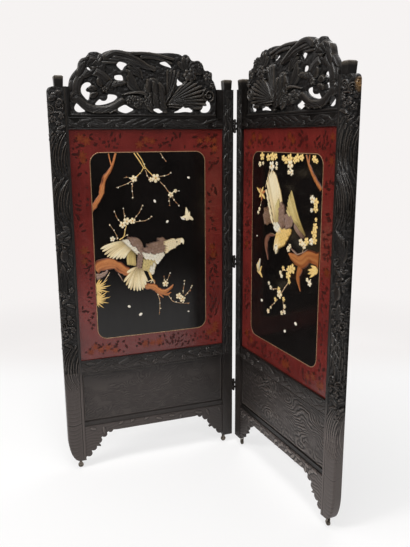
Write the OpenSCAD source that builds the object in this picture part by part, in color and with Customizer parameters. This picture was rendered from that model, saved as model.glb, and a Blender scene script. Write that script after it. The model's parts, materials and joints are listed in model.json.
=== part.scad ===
// Two-leaf folding screen: carved and ebonised hardwood frames, a lacquered picture in each
// leaf, pierced crests, butt hinges and small brass casters. Millimetres, floor at z = 0.
// A leaf is drawn flat: x runs outwards from its hinge edge, y runs back from its carved
// face, z runs up from the floor. The two leaves then stand in a V, open towards -Y.

/* [Leaves] */
// Width of one leaf, hinge edge to outer edge
leaf_w = 762; // [680:1:860]
// Thickness of the posts
leaf_t = 36; // [35:1:44]
// Height of the flat post tops above the top rail
post_rise = 113; // [90:1:140]
// Width of the post at the hinge edge
hinge_post_w = 48; // [45:1:60]
// Width of the carved post at the outer edge
outer_post_w = 72; // [60:1:90]
// Radius of the outer post's top corner
top_corner_r = 20; // [5:1:40]
// Width of the sweep at the foot of the outer post
foot_sweep_w = 43; // [20:1:44]
// Height of the sweep at the foot of the outer post
foot_sweep_h = 110; // [60:1:150]

/* [Fold] */
// Angle between the two carved faces as the screen stands
open_angle = 95; // [60:1:150]
// Distance from the hinge pin to the leaf's edge
edge_gap = 4.5; // [4:0.1:5]
// Distance that the hinge pin stands in front of the carved face
pin_proud = 6; // [5.6:0.1:8]

/* [Rails] */
// Height of the top rail's lower edge
top_rail_z = 1450; // [1310:5:1470]
// Height of the top rail
top_rail_h = 47; // [40:1:60]
// Height of the middle rail's lower edge
mid_rail_z = 435; // [390:5:490]
// Height of the middle rail
mid_rail_h = 60; // [45:1:70]
// Height of the ledge's top above the floor
ledge_z = 213; // [205:1:230]
// Height of the ledge that shows above the apron
ledge_h = 21; // [16:1:26]
// Set-back of the rails behind the carved face
rail_inset = 3; // [2:0.5:5]
// Thickness of the rails
rail_t = 31; // [28:0.5:32]
// Set-back of the ledge behind the carved face
ledge_inset = 8; // [6:0.5:10]
// Length of a tenon
tenon_l = 28; // [15:1:31]
// Thickness of a tenon
tenon_t = 12; // [8:1:14]
// Shoulder above and below a tenon
tenon_shoulder = 8; // [6:1:12]
// Radius of the half-round beads along the rails
bead_r = 2; // [1:0.5:2.5]

/* [Apron] */
// Height of the apron's straight lower edge
apron_low = 157; // [150:1:170]
// Height of the bracket's lowest lobe
bracket_low = 50; // [46:1:60]
// Reach of a bracket along the apron
bracket_reach = 142; // [110:1:180]
// Thickness of the apron
apron_t = 14; // [10:1:14]
// Set-back of the apron behind the carved face
apron_inset = 2; // [1:0.5:3]

/* [Picture] */
// Set-back of the lacquered board behind the carved face
board_inset = 10; // [9:0.5:12]
// Thickness of the lacquered board
board_t = 8; // [7:0.5:9]
// Depth of the grooves that hold the boards
groove_d = 8; // [5:0.5:10]
// Width of the red border beside the picture
border_side_w = 78; // [60:1:95]
// Width of the red border above the picture
border_top_h = 90; // [70:1:110]
// Width of the red border below the picture
border_low_h = 87; // [70:1:110]
// Corner radius of the picture
picture_r = 26; // [12:1:40]
// Thickness of the black picture panel
picture_t = 3; // [2:0.5:4]
// Width of the gold line
gold_w = 4; // [2.5:0.5:6]
// Height of the gold line above the panel
gold_proud = 1; // [0.5:0.5:2]
// Height of the inlay above the picture panel
inlay_t = 2.5; // [1.5:0.5:4]

/* [Lower and back boards] */
// Set-back of the lower panel behind the carved face
lower_inset = 13; // [12:0.5:14]
// Thickness of the lower panel
lower_t = 11; // [8:0.5:12]
// Thickness of the back board
back_t = 5; // [4:0.5:6]
// Thickness of the lip behind the back board
back_lip = 3; // [2:0.5:5]

/* [Crest] */
// Height of the crest above the top rail
crest_h = 253; // [200:1:300]
// Thickness of the pierced board
crest_t = 22; // [16:1:26]
// Height that the carving stands above the board, front and back
carving_h = 2.5; // [1:0.5:4]
// Width of the plain upright beside the hinge post
inner_upright_w = 24; // [16:1:40]
// Width of the plain upright beside the outer post
outer_upright_w = 10; // [8:1:20]
// Thickness of the crest's tongue
tongue_t = 8; // [6:1:10]

/* [Finials] */
// Height of a finial
finial_h = 40; // [25:1:60]
// Width of a finial at its foot
finial_foot_w = 32; // [26:1:34]
// Width of a finial below its bevel
finial_top_w = 36; // [30:1:42]
// Height of the bevel at the top
finial_bevel = 4; // [2:0.5:8]
// Radius of the dowel under a finial
dowel_r = 6; // [4:0.5:8]
// Length of the dowel under a finial
dowel_l = 20; // [10:1:30]

/* [Hinges] */
// Height of a hinge
hinge_h = 54; // [45:1:80]
// Number of knuckles in a hinge
knuckles = 5; // [3:2:7]
// Outer radius of a knuckle
knuckle_r = 5.2; // [4.5:0.1:5.4]
// Radius of the hinge pin
pin_r = 2; // [1.5:0.1:2.5]
// Thickness of the hinge plates
plate_t = 2; // [1.5:0.1:2.2]
// Depth of a hinge plate along the leaf's edge
plate_d = 28; // [22:1:30]
// Radius of a hinge screw's head
screw_head_r = 3.2; // [2.5:0.1:4]
// Radius of a hinge screw's shank
screw_r = 1.6; // [1.2:0.1:2]
// Length of a hinge screw
screw_l = 14; // [8:1:18]
// Height of the lower hinge's middle above the floor
low_hinge_z = 290; // [210:1:330]
// Distance of the upper hinge's middle below the post tops
top_hinge_drop = 148; // [130:1:300]

/* [Casters] */
// Height of the post's foot above the floor
caster_h = 37; // [36:0.5:40]
// Radius of the wheel
wheel_r = 11.5; // [10:0.5:12]
// Width of the wheel
wheel_w = 8; // [7:0.5:9.5]
// Radius of the axle
axle_r = 1.75; // [1.5:0.05:2]
// Distance from the swivel axis to the axle
caster_trail = 8; // [7:0.5:9]
// Radius of the swivel stud
stud_r = 3; // [2.5:0.1:3.2]
// Distance from the outer edge to the outer caster's swivel
outer_caster_in = 57; // [56:1:59]
// Distance from the hinge edge to the inner caster's swivel
inner_caster_in = 30; // [18:1:32]

/* [Fits] */
// Clearance round boards, tongues and tenons in their slots
seat_gap = 0.2; // [0.1:0.05:0.3]
// Radial clearance of a pin, stud or axle that turns
run_gap = 0.05; // [0.02:0.01:0.1]
// Gap between faces that turn past each other
side_gap = 0.3; // [0.2:0.05:0.5]

/* [Hidden] */
$fn = 48;
half_angle = open_angle / 2;
opening_x = hinge_post_w;
opening_end = leaf_w - outer_post_w;
opening_w = opening_end - opening_x;
top_rail_top = top_rail_z + top_rail_h;
post_top = top_rail_top + post_rise;
mid_rail_top = mid_rail_z + mid_rail_h;
apron_top = ledge_z - ledge_h;
rail_mid_y = rail_inset + rail_t / 2;
back_y = rail_inset + rail_t - back_lip - back_t;

// The bottom rail behind the ledge and the apron
sill_h = 52;
sill_y = apron_inset + apron_t;
sill_t = rail_inset + rail_t - sill_y;

// The picture, in its pocket in the red board
picture_x = opening_x + border_side_w;
picture_w = opening_w - 2 * border_side_w;
picture_z = mid_rail_top + border_low_h;
picture_h = top_rail_z - border_top_h - picture_z;
picture_front = board_inset;

// The crest between its uprights. Its outline is drawn on this grid and scaled to size
crest_grid = [608, 253];
crest_x = opening_x + inner_upright_w;
crest_w = opening_w - inner_upright_w - outer_upright_w;
crest_y = (leaf_t - crest_t) / 2;
crest_edge = crest_grid[1] * post_rise / crest_h;

// The hinges
top_hinge_z = post_top - top_hinge_drop;
hinge_heights = [low_hinge_z, (low_hinge_z + top_hinge_z) / 2, top_hinge_z];
knuckle_h = (hinge_h - (knuckles - 1) * side_gap) / knuckles;
plate_x = knuckle_r - plate_t;
gain_d = knuckle_r - edge_gap;
pin_head_r = pin_r + 1.2;
pin_head_h = 2;
screw_head_h = 1;
screw_rows = [-1, 1];
screw_columns = [0.3, 0.75];
screw_row = 0.32;

// The casters, from the post's foot down
caster_plate_t = 2.5;
caster_plate_r = 13;
stud_head_r = stud_r + 0.6;
stud_head_h = 1.4;
fork_top_t = 3;
fork_top_z = caster_h - caster_plate_t - side_gap;
fork_under_z = fork_top_z - fork_top_t;
cheek_t = 2.2;
cheek_w = 10;
fork_w = wheel_w + 2 * (side_gap + cheek_t);

// How far the V reaches along Y, so that the origin lies under the middle of its box
reach_back = (leaf_t + pin_proud) * sin(half_angle) - edge_gap * cos(half_angle);
reach_front = (leaf_w + edge_gap) * cos(half_angle) - pin_proud * sin(half_angle);
centre_y = (reach_front - reach_back) / 2;

LEFT = -1;
RIGHT = 1;
EBONY = [0.13, 0.12, 0.11];
RED = [0.43, 0.13, 0.11];
BLACK = [0.07, 0.06, 0.06];
GOLD = [0.66, 0.5, 0.35];
BONE = [0.91, 0.86, 0.7];
INLAY_WOOD = [0.66, 0.36, 0.18];
BRASS = [0.42, 0.35, 0.22];
IRON = [0.2, 0.19, 0.18];

// A closed smooth curve through the points, as straight steps
function spline(a, b, c, d, t) =
    0.5 * (2 * b + (c - a) * t + (2 * a - 5 * b + 4 * c - d) * t * t
    + (3 * b - a - 3 * c + d) * t * t * t);
function closed_curve(p, n = 4) = let (m = len(p)) [
    for (i = [0:m - 1], k = [0:n - 1])
        spline(p[(i + m - 1) % m], p[i], p[(i + 1) % m], p[(i + 2) % m], k / n)
];
// The same through an open row of points
function open_curve(p, n = 4) = let (m = len(p)) concat([
    for (i = [0:m - 2], k = [0:n - 1])
        spline(p[max(i - 1, 0)], p[i], p[i + 1], p[min(i + 2, m - 1)], k / n)
], [p[m - 1]]);
// A stroke along a curve, its width running from one end to the other
function side_of(p, i) =
    let (d = p[min(i + 1, len(p) - 1)] - p[max(i - 1, 0)]) [-d[1], d[0]] / norm(d);
function stroke(p, w0, w1) = let (c = open_curve(p), m = len(c) - 1) concat(
    [for (i = [0:m]) c[i] + side_of(c, i) * (w0 + (w1 - w0) * i / m) / 2],
    [for (i = [m:-1:0]) c[i] - side_of(c, i) * (w0 + (w1 - w0) * i / m) / 2]
);
// A feather from the origin along an angle: narrow at the root, round at the tip
tip_start = 0.85;
function feather_half(t, width) = width / 2 * (0.35 + 0.65 * t)
    * (t > tip_start ? sqrt(1 - 0.8 * pow((t - tip_start) / (1 - tip_start), 2)) : 1);
function turned(p, angle) =
    [p[0] * cos(angle) - p[1] * sin(angle), p[0] * sin(angle) + p[1] * cos(angle)];
function feather(length, width, angle, steps = 7) = concat(
    [for (i = [0:steps]) turned([length * i / steps, feather_half(i / steps, width)], angle)],
    [for (i = [steps:-1:0]) turned([length * i / steps, -feather_half(i / steps, width)], angle)]
);
function arc(x, z, rx, rz, from, to, steps = 10) =
    [for (i = [0:steps]) let (a = from + (to - from) * i / steps) [x + rx * cos(a), z + rz * sin(a)]];

// Puts what is drawn in a flat leaf's place into the standing V
module leaf(side) {
    if (side == RIGHT)
        swung_leaf() children();
    else
        mirror([1, 0, 0]) swung_leaf() children();
}
module swung_leaf() {
    translate([0, centre_y, 0]) rotate([0, 0, half_angle - 90]) translate([edge_gap, pin_proud, 0])
        children();
}
// A board of thickness t whose face, drawn as (x, z), lies y behind the carved face
module board(y, t) {
    translate([0, y + t, 0]) rotate([90, 0, 0]) linear_extrude(t) children();
}
module box(x, y, z, w, d, h) {
    translate([x, y, z]) cube([w, d, h]);
}
// A box widened on every side by the seat clearance, for slots
module seat(x, y, z, w, d, h) {
    box(x - seat_gap, y - seat_gap, z - seat_gap, w + 2 * seat_gap, d + 2 * seat_gap, h + 2 * seat_gap);
}

// The places of the boards in their grooves, given to a box or to a slot
module border_board_place(slot = false) {
    in_groove(board_inset, board_t, mid_rail_top, top_rail_z, slot);
}
module back_board_place(slot = false) {
    in_groove(back_y, back_t, mid_rail_top, top_rail_z, slot);
}
module lower_panel_place(slot = false) {
    in_groove(lower_inset, lower_t, ledge_z, mid_rail_z, slot);
}
module in_groove(y, t, z0, z1, slot) {
    x = opening_x - groove_d;
    w = opening_w + 2 * groove_d;
    z = z0 - groove_d;
    h = z1 - z0 + 2 * groove_d;
    if (slot)
        seat(x, y, z, w, t, h);
    else
        box(x, y, z, w, t, h);
}
module board_slots() {
    border_board_place(true);
    back_board_place(true);
    lower_panel_place(true);
    crest_tongue(true);
}
module tenons(y_mid, z, h, slot = false) {
    for (x = [opening_x - tenon_l, opening_end]) {
        y = y_mid - tenon_t / 2;
        if (slot)
            seat(x, y, z, tenon_l, tenon_t, h);
        else
            box(x, y, z, tenon_l, tenon_t, h);
    }
}
module top_rail_tenons(slot = false) {
    tenons(rail_mid_y, top_rail_z + tenon_shoulder, top_rail_h - 2 * tenon_shoulder, slot);
}
module mid_rail_tenons(slot = false) {
    tenons(rail_mid_y, mid_rail_z + tenon_shoulder, mid_rail_h - 2 * tenon_shoulder, slot);
}
module bottom_rail_tenons(slot = false) {
    tenons(sill_y + sill_t / 2, ledge_z - sill_h + tenon_shoulder,
        sill_h - groove_d - 2 * tenon_shoulder, slot);
}

module outer_post_face() {
    polygon(concat(
        [[opening_end, caster_h], [opening_end, post_top]],
        arc(leaf_w - top_corner_r, post_top - top_corner_r, top_corner_r, top_corner_r, 90, 0, 6),
        arc(leaf_w - foot_sweep_w, caster_h + foot_sweep_h, foot_sweep_w, foot_sweep_h, 0, -90)
    ));
}
module post_cuts() {
    board_slots();
    top_rail_tenons(true);
    mid_rail_tenons(true);
    bottom_rail_tenons(true);
}
module outer_post() {
    color(EBONY) difference() {
        board(0, leaf_t) outer_post_face();
        post_cuts();
        finial_dowel(outer_finial_x, dowel_r + run_gap, seat_gap);
    }
}
module hinge_post() {
    color(EBONY) difference() {
        box(0, 0, caster_h, hinge_post_w, leaf_t, post_top - caster_h);
        post_cuts();
        finial_dowel(hinge_finial_x, dowel_r + run_gap, seat_gap);
        for (z = hinge_heights) {
            box(-1, -1, z - hinge_h / 2 - seat_gap,
                gain_d + 1, plate_d + 1 + seat_gap, hinge_h + 2 * seat_gap);
            screw_places(z) cylinder(h = screw_l, r = screw_r + run_gap);
        }
    }
}

module bead(z, y) {
    translate([opening_x, y, z]) rotate([0, 90, 0]) cylinder(h = opening_w, r = bead_r, $fn = 24);
}
module top_rail() {
    color(EBONY) difference() {
        union() {
            box(opening_x, rail_inset, top_rail_z, opening_w, rail_t, top_rail_h);
            top_rail_tenons();
            bead(top_rail_z + bead_r, rail_inset);
            bead(top_rail_top - bead_r, rail_inset);
        }
        board_slots();
    }
}
module mid_rail() {
    color(EBONY) difference() {
        union() {
            box(opening_x, rail_inset, mid_rail_z, opening_w, rail_t, mid_rail_h);
            mid_rail_tenons();
            bead(mid_rail_z + bead_r, rail_inset);
            bead(mid_rail_top - bead_r, rail_inset);
        }
        board_slots();
    }
}
module bottom_rail() {
    color(EBONY) difference() {
        union() {
            box(opening_x, sill_y, ledge_z - sill_h, opening_w, sill_t, sill_h);
            box(opening_x, ledge_inset, apron_top, opening_w, sill_y - ledge_inset, ledge_h);
            bottom_rail_tenons();
        }
        board_slots();
    }
}

// One bracket of the apron: e runs away from the post, and the lobes climb to the edge
bracket_lobes = [[14, 54, 14], [34, 80, 15], [58, 110, 15], [84, 134, 13], [112, 150, 11]];
bracket_grid = [142, 40, 147];
function bracket_e(e) = e * bracket_reach / bracket_grid[0];
function bracket_z(z) = bracket_low
    + (z - bracket_grid[1]) * (apron_low - bracket_low) / (bracket_grid[2] - bracket_grid[1]);
module bracket() {
    polygon(concat(
        [[0, bracket_low]],
        [for (lobe = bracket_lobes) [bracket_e(lobe[0]), bracket_z(lobe[1])]],
        [[bracket_reach, apron_low], [bracket_reach, apron_top], [0, apron_top]]
    ));
    intersection() {
        for (lobe = bracket_lobes)
            translate([bracket_e(lobe[0]), bracket_z(lobe[1])]) circle(r = lobe[2], $fn = 32);
        square([bracket_reach, apron_top]);
    }
    // The leaf tip that points into the arch
    polygon(closed_curve([
        for (p = [[38, 92], [50, 84], [67, 81], [60, 90], [54, 102]]) [bracket_e(p[0]), bracket_z(p[1])]
    ]));
}
module apron() {
    color(EBONY) board(apron_inset, apron_t) {
        translate([opening_x + bracket_reach - 0.5, apron_low])
            square([opening_w - 2 * bracket_reach + 1, apron_top - apron_low]);
        translate([opening_x, 0]) bracket();
        translate([opening_end, 0]) mirror([1, 0]) bracket();
    }
}

module lower_panel() {
    color(EBONY) lower_panel_place();
}
module back_board() {
    color(BLACK) back_board_place();
}
module picture_face(grow = 0) {
    r = picture_r + grow;
    translate([picture_x - grow, picture_z - grow])
        rounded(picture_w + 2 * grow, picture_h + 2 * grow, r);
}
module rounded(w, h, r) {
    translate([r, 0]) square([w - 2 * r, h]);
    translate([0, r]) square([w, h - 2 * r]);
    for (x = [r, w - r], z = [r, h - r])
        translate([x, z]) circle(r = r);
}
module border_board() {
    color(RED) difference() {
        border_board_place();
        board(picture_front - 1, picture_t + 1) picture_face(seat_gap);
    }
}
module picture_panel() {
    color(BLACK) board(picture_front, picture_t) picture_face();
}
module gold_line() {
    color(GOLD) board(picture_front - gold_proud, gold_proud) difference() {
        picture_face(gold_w / 2);
        picture_face(-gold_w / 2);
    }
}

// The crest's top edge, from the hinge side to the outer side, on its grid
crest_top_edge = [
    [0, crest_edge], [6, 133], [14, 145], [21, 153], [23, 178], [38, 187], [54, 187], [60, 203],
    [68, 219], [83, 225], [103, 222], [116, 231], [125, 245], [138, 247], [146, 241], [163, 248],
    [203, 251], [248, 248], [298, 251], [358, 249], [408, 253], [443, 251], [468, 242], [476, 237],
    [493, 244], [520, 242], [530, 231], [540, 222], [556, 216], [566, 201], [570, 183], [582, 170],
    [595, 154], [604, 135], [608, crest_edge],
];
crest_holes = [
    [[520, 125], [528, 131], [543, 129], [556, 118], [561, 103], [558, 88], [549, 76], [540, 66],
        [533, 66], [529, 76], [526, 93], [537, 96], [541, 104], [534, 112], [524, 118]],
    [[518, 176], [526, 187], [534, 186], [535, 180], [526, 174]],
    [[590, 33], [581, 52], [574, 49], [560, 35], [547, 24], [556, 20], [578, 19]],
    [[508, 50], [490, 68], [480, 63], [467, 63], [459, 73], [456, 86], [438, 87], [422, 83],
        [419, 76], [433, 63], [458, 53], [478, 48], [498, 46]],
    [[421, 30], [403, 43], [386, 48], [368, 38], [354, 30], [373, 20], [388, 16], [408, 21]],
    [[276, 30], [263, 34], [248, 35], [238, 28], [230, 23], [243, 18], [258, 18]],
    [[188, 20], [168, 28], [146, 45], [133, 38], [118, 40], [103, 28], [113, 21], [138, 23],
        [163, 20]],
    [[70, 26], [61, 46], [43, 48], [48, 65], [33, 68], [25, 53], [25, 38], [36, 23], [58, 20]],
    [[418, 198], [406, 211], [388, 210], [374, 203], [386, 193], [394, 181], [402, 181]],
    [[426, 158], [398, 161], [393, 143], [408, 140], [426, 145]],
    [[243, 211], [218, 218], [201, 208], [192, 193], [203, 196], [228, 203]],
    [[173, 156], [158, 143], [143, 135], [158, 128], [171, 126]],
];
wing_outline = [
    [150, 214], [200, 228], [260, 226], [330, 232], [400, 240], [455, 234], [462, 222],
    [400, 222], [340, 208], [280, 188], [262, 190], [300, 212], [250, 222], [195, 220],
];
function crest_point(p) = [p[0] * crest_w / crest_grid[0], p[1] * crest_h / crest_grid[1]];
function crest_points(list) = [for (p = list) crest_point(p)];
module crest_face() {
    difference() {
        polygon(concat([[0, 0]], open_curve(crest_points(crest_top_edge), 3), [[crest_w, 0]]));
        for (hole = crest_holes)
            polygon(closed_curve(crest_points(hole), 3));
    }
}
module crest_carving_face() {
    // The swept wing, the fan of feathers, the ring scroll and the blossoms
    polygon(closed_curve(crest_points(wing_outline), 3));
    for (i = [0:7])
        translate(crest_point([250, 62])) polygon(feather(120 + 26 * sin(22 * i), 13, 172 - 11 * i));
    translate(crest_point([538, 98])) difference() {
        circle(r = 62);
        circle(r = 42);
    }
    for (flower = [[110, 188, 13], [520, 208, 10], [470, 104, 12]], a = [0:72:359])
        translate(crest_point([flower[0], flower[1]]) + flower[2] * [cos(a), sin(a)])
            circle(r = flower[2] * 0.72, $fn = 24);
}
module crest_tongue(slot = false) {
    x = crest_x + groove_d;
    w = crest_w - 2 * groove_d;
    y = (leaf_t - tongue_t) / 2;
    if (slot)
        seat(x, y, top_rail_top - groove_d, w, tongue_t, groove_d + 1);
    else
        box(x, y, top_rail_top - groove_d, w, tongue_t, groove_d + 1);
}
module crest() {
    color(EBONY) {
        crest_tongue();
        translate([crest_x, 0, top_rail_top]) {
            board(crest_y, crest_t) crest_face();
            board(crest_y - carving_h, crest_t + 2 * carving_h) intersection() {
                crest_face();
                crest_carving_face();
            }
        }
    }
}
module crest_uprights() {
    color(EBONY) {
        box(opening_x, crest_y, top_rail_top, inner_upright_w, crest_t, post_rise);
        box(opening_end - outer_upright_w, crest_y, top_rail_top, outer_upright_w, crest_t, post_rise);
    }
}

outer_finial_x = opening_end + finial_foot_w / 2 + 12;
hinge_finial_x = hinge_post_w / 2 + 1;
module finial_dowel(x, r, gap) {
    translate([x, leaf_t / 2, post_top - dowel_l - gap]) cylinder(h = dowel_l + gap + 1, r = r);
}
module finial(x) {
    color(EBONY) {
        finial_dowel(x, dowel_r, 0);
        translate([x, leaf_t / 2, post_top]) {
            linear_extrude(finial_h - finial_bevel, scale = finial_top_w / finial_foot_w)
                square(finial_foot_w, center = true);
            translate([0, 0, finial_h - finial_bevel])
                linear_extrude(finial_bevel, scale = 1 - 2 * finial_bevel / finial_top_w)
                    square(finial_top_w, center = true);
        }
    }
}

// The pictures are drawn on a grid of 100 by 160, from the corner at the lower left as seen
picture_grid = [100, 160];
function picture_point(p) = [p[0] * picture_w / picture_grid[0], p[1] * picture_h / picture_grid[1]];
function picture_points(list) = [for (p = list) picture_point(p)];
unit = picture_w / picture_grid[0];
module shape(list) {
    polygon(closed_curve(picture_points(list)));
}
module branch(list, w0, w1) {
    polygon(stroke(picture_points(list), w0 * unit, w1 * unit));
}
// A fan of feathers: place, number, length, width, first angle, last angle
module feather_fan(at, count, length, width, first, last) {
    for (i = [0:count - 1])
        translate(picture_point(at))
            polygon(feather(length * unit, width * unit, first + (last - first) * i / (count - 1)));
}
module blossoms(list) {
    for (p = list, a = [0:72:359])
        translate(picture_point([p[0], p[1]]) + p[2] * unit * 0.6 * [cos(a), sin(a)])
            circle(r = p[2] * unit * 0.55, $fn = 16);
}
module flipped(side) {
    if (side == LEFT)
        mirror([1, 0]) children();
    else
        children();
}
// What is inlaid stands on the picture panel, inside the gold line
module inlay(side, tone) {
    corner = side == RIGHT ? picture_x : picture_x + picture_w;
    color(tone) board(picture_front - inlay_t, inlay_t) intersection() {
        translate([corner, picture_z]) flipped(side) children();
        picture_face(-gold_w / 2 - seat_gap);
    }
}

module left_bone_shapes() {
    // The perched hawk: raised wing, tail fan, back, shoulder, neck and head
    feather_fan([34, 82], 7, 27, 4.6, 160, 205);
    feather_fan([41, 64], 8, 20, 4.4, 222, 292);
    shape([[30, 88], [38, 87], [42, 78], [48, 74], [50, 66], [44, 60], [36, 66], [32, 76]]);
    shape([[44, 74], [50, 84], [60, 88], [66, 84], [64, 74], [56, 68], [48, 66]]);
    shape([[62, 85], [70, 84], [77, 84], [79, 81], [76, 78], [70, 76], [62, 72]]);
    blossoms([[54.5, 138.5, 3.6], [35, 138, 3.2], [68, 123, 3.2], [26, 100, 3.2],
        [33, 102.5, 3], [15, 88, 3], [61.5, 45, 2.8], [75, 30.5, 3.6]]);
    // The small flying bird
    shape([[77, 105], [81, 107], [82, 114], [85, 109], [90, 103], [84, 101], [79, 102]]);
    // The yellow pine tuft
    feather_fan([1.5, 42], 7, 11, 3, -70, 98);
}
module left_wood_shapes() {
    branch([[1, 121], [6.5, 126], [8, 137], [13.5, 147], [21, 158]], 5.5, 3);
    branch([[1, 65], [8, 66.5], [14, 65.5], [20, 60.5]], 7.5, 4.5);
    branch([[42, 45], [48, 41.5], [54, 37.5], [58, 38.5], [62, 40]], 5, 2.5);
    branch([[37, 158.5], [42, 148.5], [48, 142]], 1.6, 1.2);
    branch([[58, 135], [63, 129], [66, 126]], 1.2, 1);
}
module right_bone_shapes() {
    // The stooping hawk: two long wings, body and head
    feather_fan([47, 100], 7, 44, 4.6, 96, 124);
    feather_fan([59, 131], 6, 36, 4.2, 286, 312);
    shape([[47, 100], [56, 106], [66, 106], [64, 96], [56, 88], [46, 84], [43, 90]]);
    blossoms([[16, 157, 2.6], [31, 154, 3.4], [39, 156.5, 2.6], [54, 155, 3.2], [64, 148, 3],
        [74, 157, 2.6], [93, 157, 2.4], [93, 127, 4], [95, 107, 4], [95, 78, 3.6],
        [65, 71, 4], [48, 48, 4.4], [33, 52, 2.2], [60, 35, 2.8], [31, 28, 2.4]]);
    // The small pale bird
    shape([[13, 57], [16, 59], [15, 67], [19, 62], [21, 57], [25, 55], [18, 54]]);
}
module right_wood_shapes() {
    branch([[99, 89], [90, 85], [82, 81], [73, 80]], 8.5, 5);
    branch([[81, 157.5], [86, 149.5], [93, 143], [99, 134]], 3.5, 5);
    branch([[73, 75], [77, 66], [78, 59]], 4, 2);
    branch([[40, 95], [33, 93], [28, 86], [26.5, 74]], 4.6, 1.6);
    shape([[9, 124], [13, 129], [21, 129], [24, 122], [17, 119]]);
}
module left_bone_inlay() {
    inlay(LEFT, BONE) left_bone_shapes();
}
module right_bone_inlay() {
    inlay(RIGHT, BONE) right_bone_shapes();
}
module left_wood_inlay() {
    inlay(LEFT, INLAY_WOOD) difference() {
        left_wood_shapes();
        left_bone_shapes();
    }
}
module right_wood_inlay() {
    inlay(RIGHT, INLAY_WOOD) difference() {
        right_wood_shapes();
        right_bone_shapes();
    }
}

// Hinges. The pin's axis is the leaf's own corner, moved out by the gap and forward
pin_x = -edge_gap;
pin_y = -pin_proud;
module screw_places(z) {
    for (row = screw_rows, column = screw_columns)
        translate([gain_d, plate_d * column, z + row * hinge_h * screw_row]) rotate([0, 90, 0]) children();
}
module knuckle(z, i) {
    translate([pin_x, pin_y, z - hinge_h / 2 + i * (knuckle_h + side_gap)]) difference() {
        union() {
            cylinder(h = knuckle_h, r = knuckle_r);
            box(plate_x, 0, 0, plate_t, pin_proud + 1, knuckle_h);
        }
        translate([0, 0, -1]) cylinder(h = knuckle_h + 2, r = pin_r + run_gap);
    }
}
module hinge_plates(first) {
    color(IRON) for (z = hinge_heights) {
        difference() {
            box(gain_d - plate_t, 0, z - hinge_h / 2, plate_t, plate_d, hinge_h);
            screw_places(z) {
                translate([0, 0, -plate_t - 1]) cylinder(h = plate_t + 2, r = screw_r + run_gap);
                translate([0, 0, -plate_t - 1])
                    cylinder(h = 1 + screw_head_h + run_gap, r = screw_head_r + run_gap);
            }
        }
        for (i = [first:2:knuckles - 1])
            knuckle(z, i);
    }
}
module hinge_screws() {
    color(IRON) for (z = hinge_heights)
        screw_places(z) {
            translate([0, 0, -plate_t]) cylinder(h = screw_head_h, r = screw_head_r);
            translate([0, 0, -plate_t]) cylinder(h = screw_l + plate_t - 1, r = screw_r);
        }
}
module hinge_pins() {
    color(IRON) for (z = hinge_heights)
        translate([0, centre_y, z - hinge_h / 2]) {
            cylinder(h = hinge_h, r = pin_r);
            for (end = [-pin_head_h, hinge_h])
                translate([0, 0, end]) cylinder(h = pin_head_h, r = pin_head_r);
        }
}

// Casters. Each is drawn round its own swivel axis, its wheel trailing along +x
module caster_at(x) {
    translate([x, leaf_t / 2, 0]) children();
}
outer_caster_x = leaf_w - outer_caster_in;
module caster_plates() {
    color(BRASS) for (x = [outer_caster_x, inner_caster_in])
        caster_at(x) {
            translate([0, 0, caster_h - caster_plate_t]) cylinder(h = caster_plate_t, r = caster_plate_r);
            translate([0, 0, fork_under_z - side_gap]) cylinder(h = caster_h - fork_under_z, r = stud_r);
            translate([0, 0, fork_under_z - side_gap - stud_head_h])
                cylinder(h = stud_head_h, r = stud_head_r);
        }
}
module caster_fork() {
    color(BRASS) difference() {
        union() {
            translate([0, 0, fork_under_z]) cylinder(h = fork_top_t, r = fork_w / 2);
            box(0, -fork_w / 2, fork_under_z, caster_trail + cheek_w / 2, fork_w, fork_top_t);
            for (y = [-fork_w / 2, fork_w / 2 - cheek_t]) {
                box(caster_trail - cheek_w / 2, y, wheel_r, cheek_w, cheek_t, fork_under_z - wheel_r + 1);
                translate([caster_trail, y + cheek_t, wheel_r]) rotate([90, 0, 0])
                    cylinder(h = cheek_t, r = cheek_w / 2);
            }
        }
        translate([0, 0, fork_under_z - 1]) cylinder(h = fork_top_t + 2, r = stud_r + run_gap);
        translate([caster_trail, fork_w, wheel_r]) rotate([90, 0, 0])
            cylinder(h = 2 * fork_w, r = axle_r + run_gap);
    }
}
module caster_axle() {
    color(IRON) translate([caster_trail, fork_w / 2, wheel_r]) rotate([90, 0, 0])
        cylinder(h = fork_w, r = axle_r);
}
module caster_wheel() {
    color(BRASS) translate([caster_trail, wheel_w / 2, wheel_r]) rotate([90, 0, 0]) difference() {
        union() {
            cylinder(h = wheel_w, r = wheel_r - 0.8);
            translate([0, 0, 0.8]) cylinder(h = wheel_w - 1.6, r = wheel_r);
        }
        translate([0, 0, -1]) cylinder(h = wheel_w + 2, r = axle_r + run_gap);
    }
}

leaf(LEFT) outer_post();  // left_outer_post
leaf(LEFT) hinge_post();  // left_hinge_post
leaf(LEFT) top_rail();  // left_top_rail
leaf(LEFT) mid_rail();  // left_mid_rail
leaf(LEFT) bottom_rail();  // left_bottom_rail
leaf(LEFT) apron();  // left_apron
leaf(LEFT) lower_panel();  // left_lower_panel
leaf(LEFT) border_board();  // left_border_board
leaf(LEFT) picture_panel();  // left_picture_panel
leaf(LEFT) gold_line();  // left_gold_line
leaf(LEFT) back_board();  // left_back_board
leaf(LEFT) crest();  // left_crest
leaf(LEFT) crest_uprights();  // left_crest_uprights
leaf(LEFT) finial(outer_finial_x);  // left_outer_finial
leaf(LEFT) finial(hinge_finial_x);  // left_hinge_finial
leaf(LEFT) left_bone_inlay();
leaf(LEFT) left_wood_inlay();
leaf(LEFT) hinge_plates(0);  // left_hinge_plates
leaf(LEFT) hinge_screws();  // left_hinge_screws
leaf(LEFT) caster_plates();  // left_caster_plates
leaf(RIGHT) outer_post();  // right_outer_post
leaf(RIGHT) hinge_post();  // right_hinge_post
leaf(RIGHT) top_rail();  // right_top_rail
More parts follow.
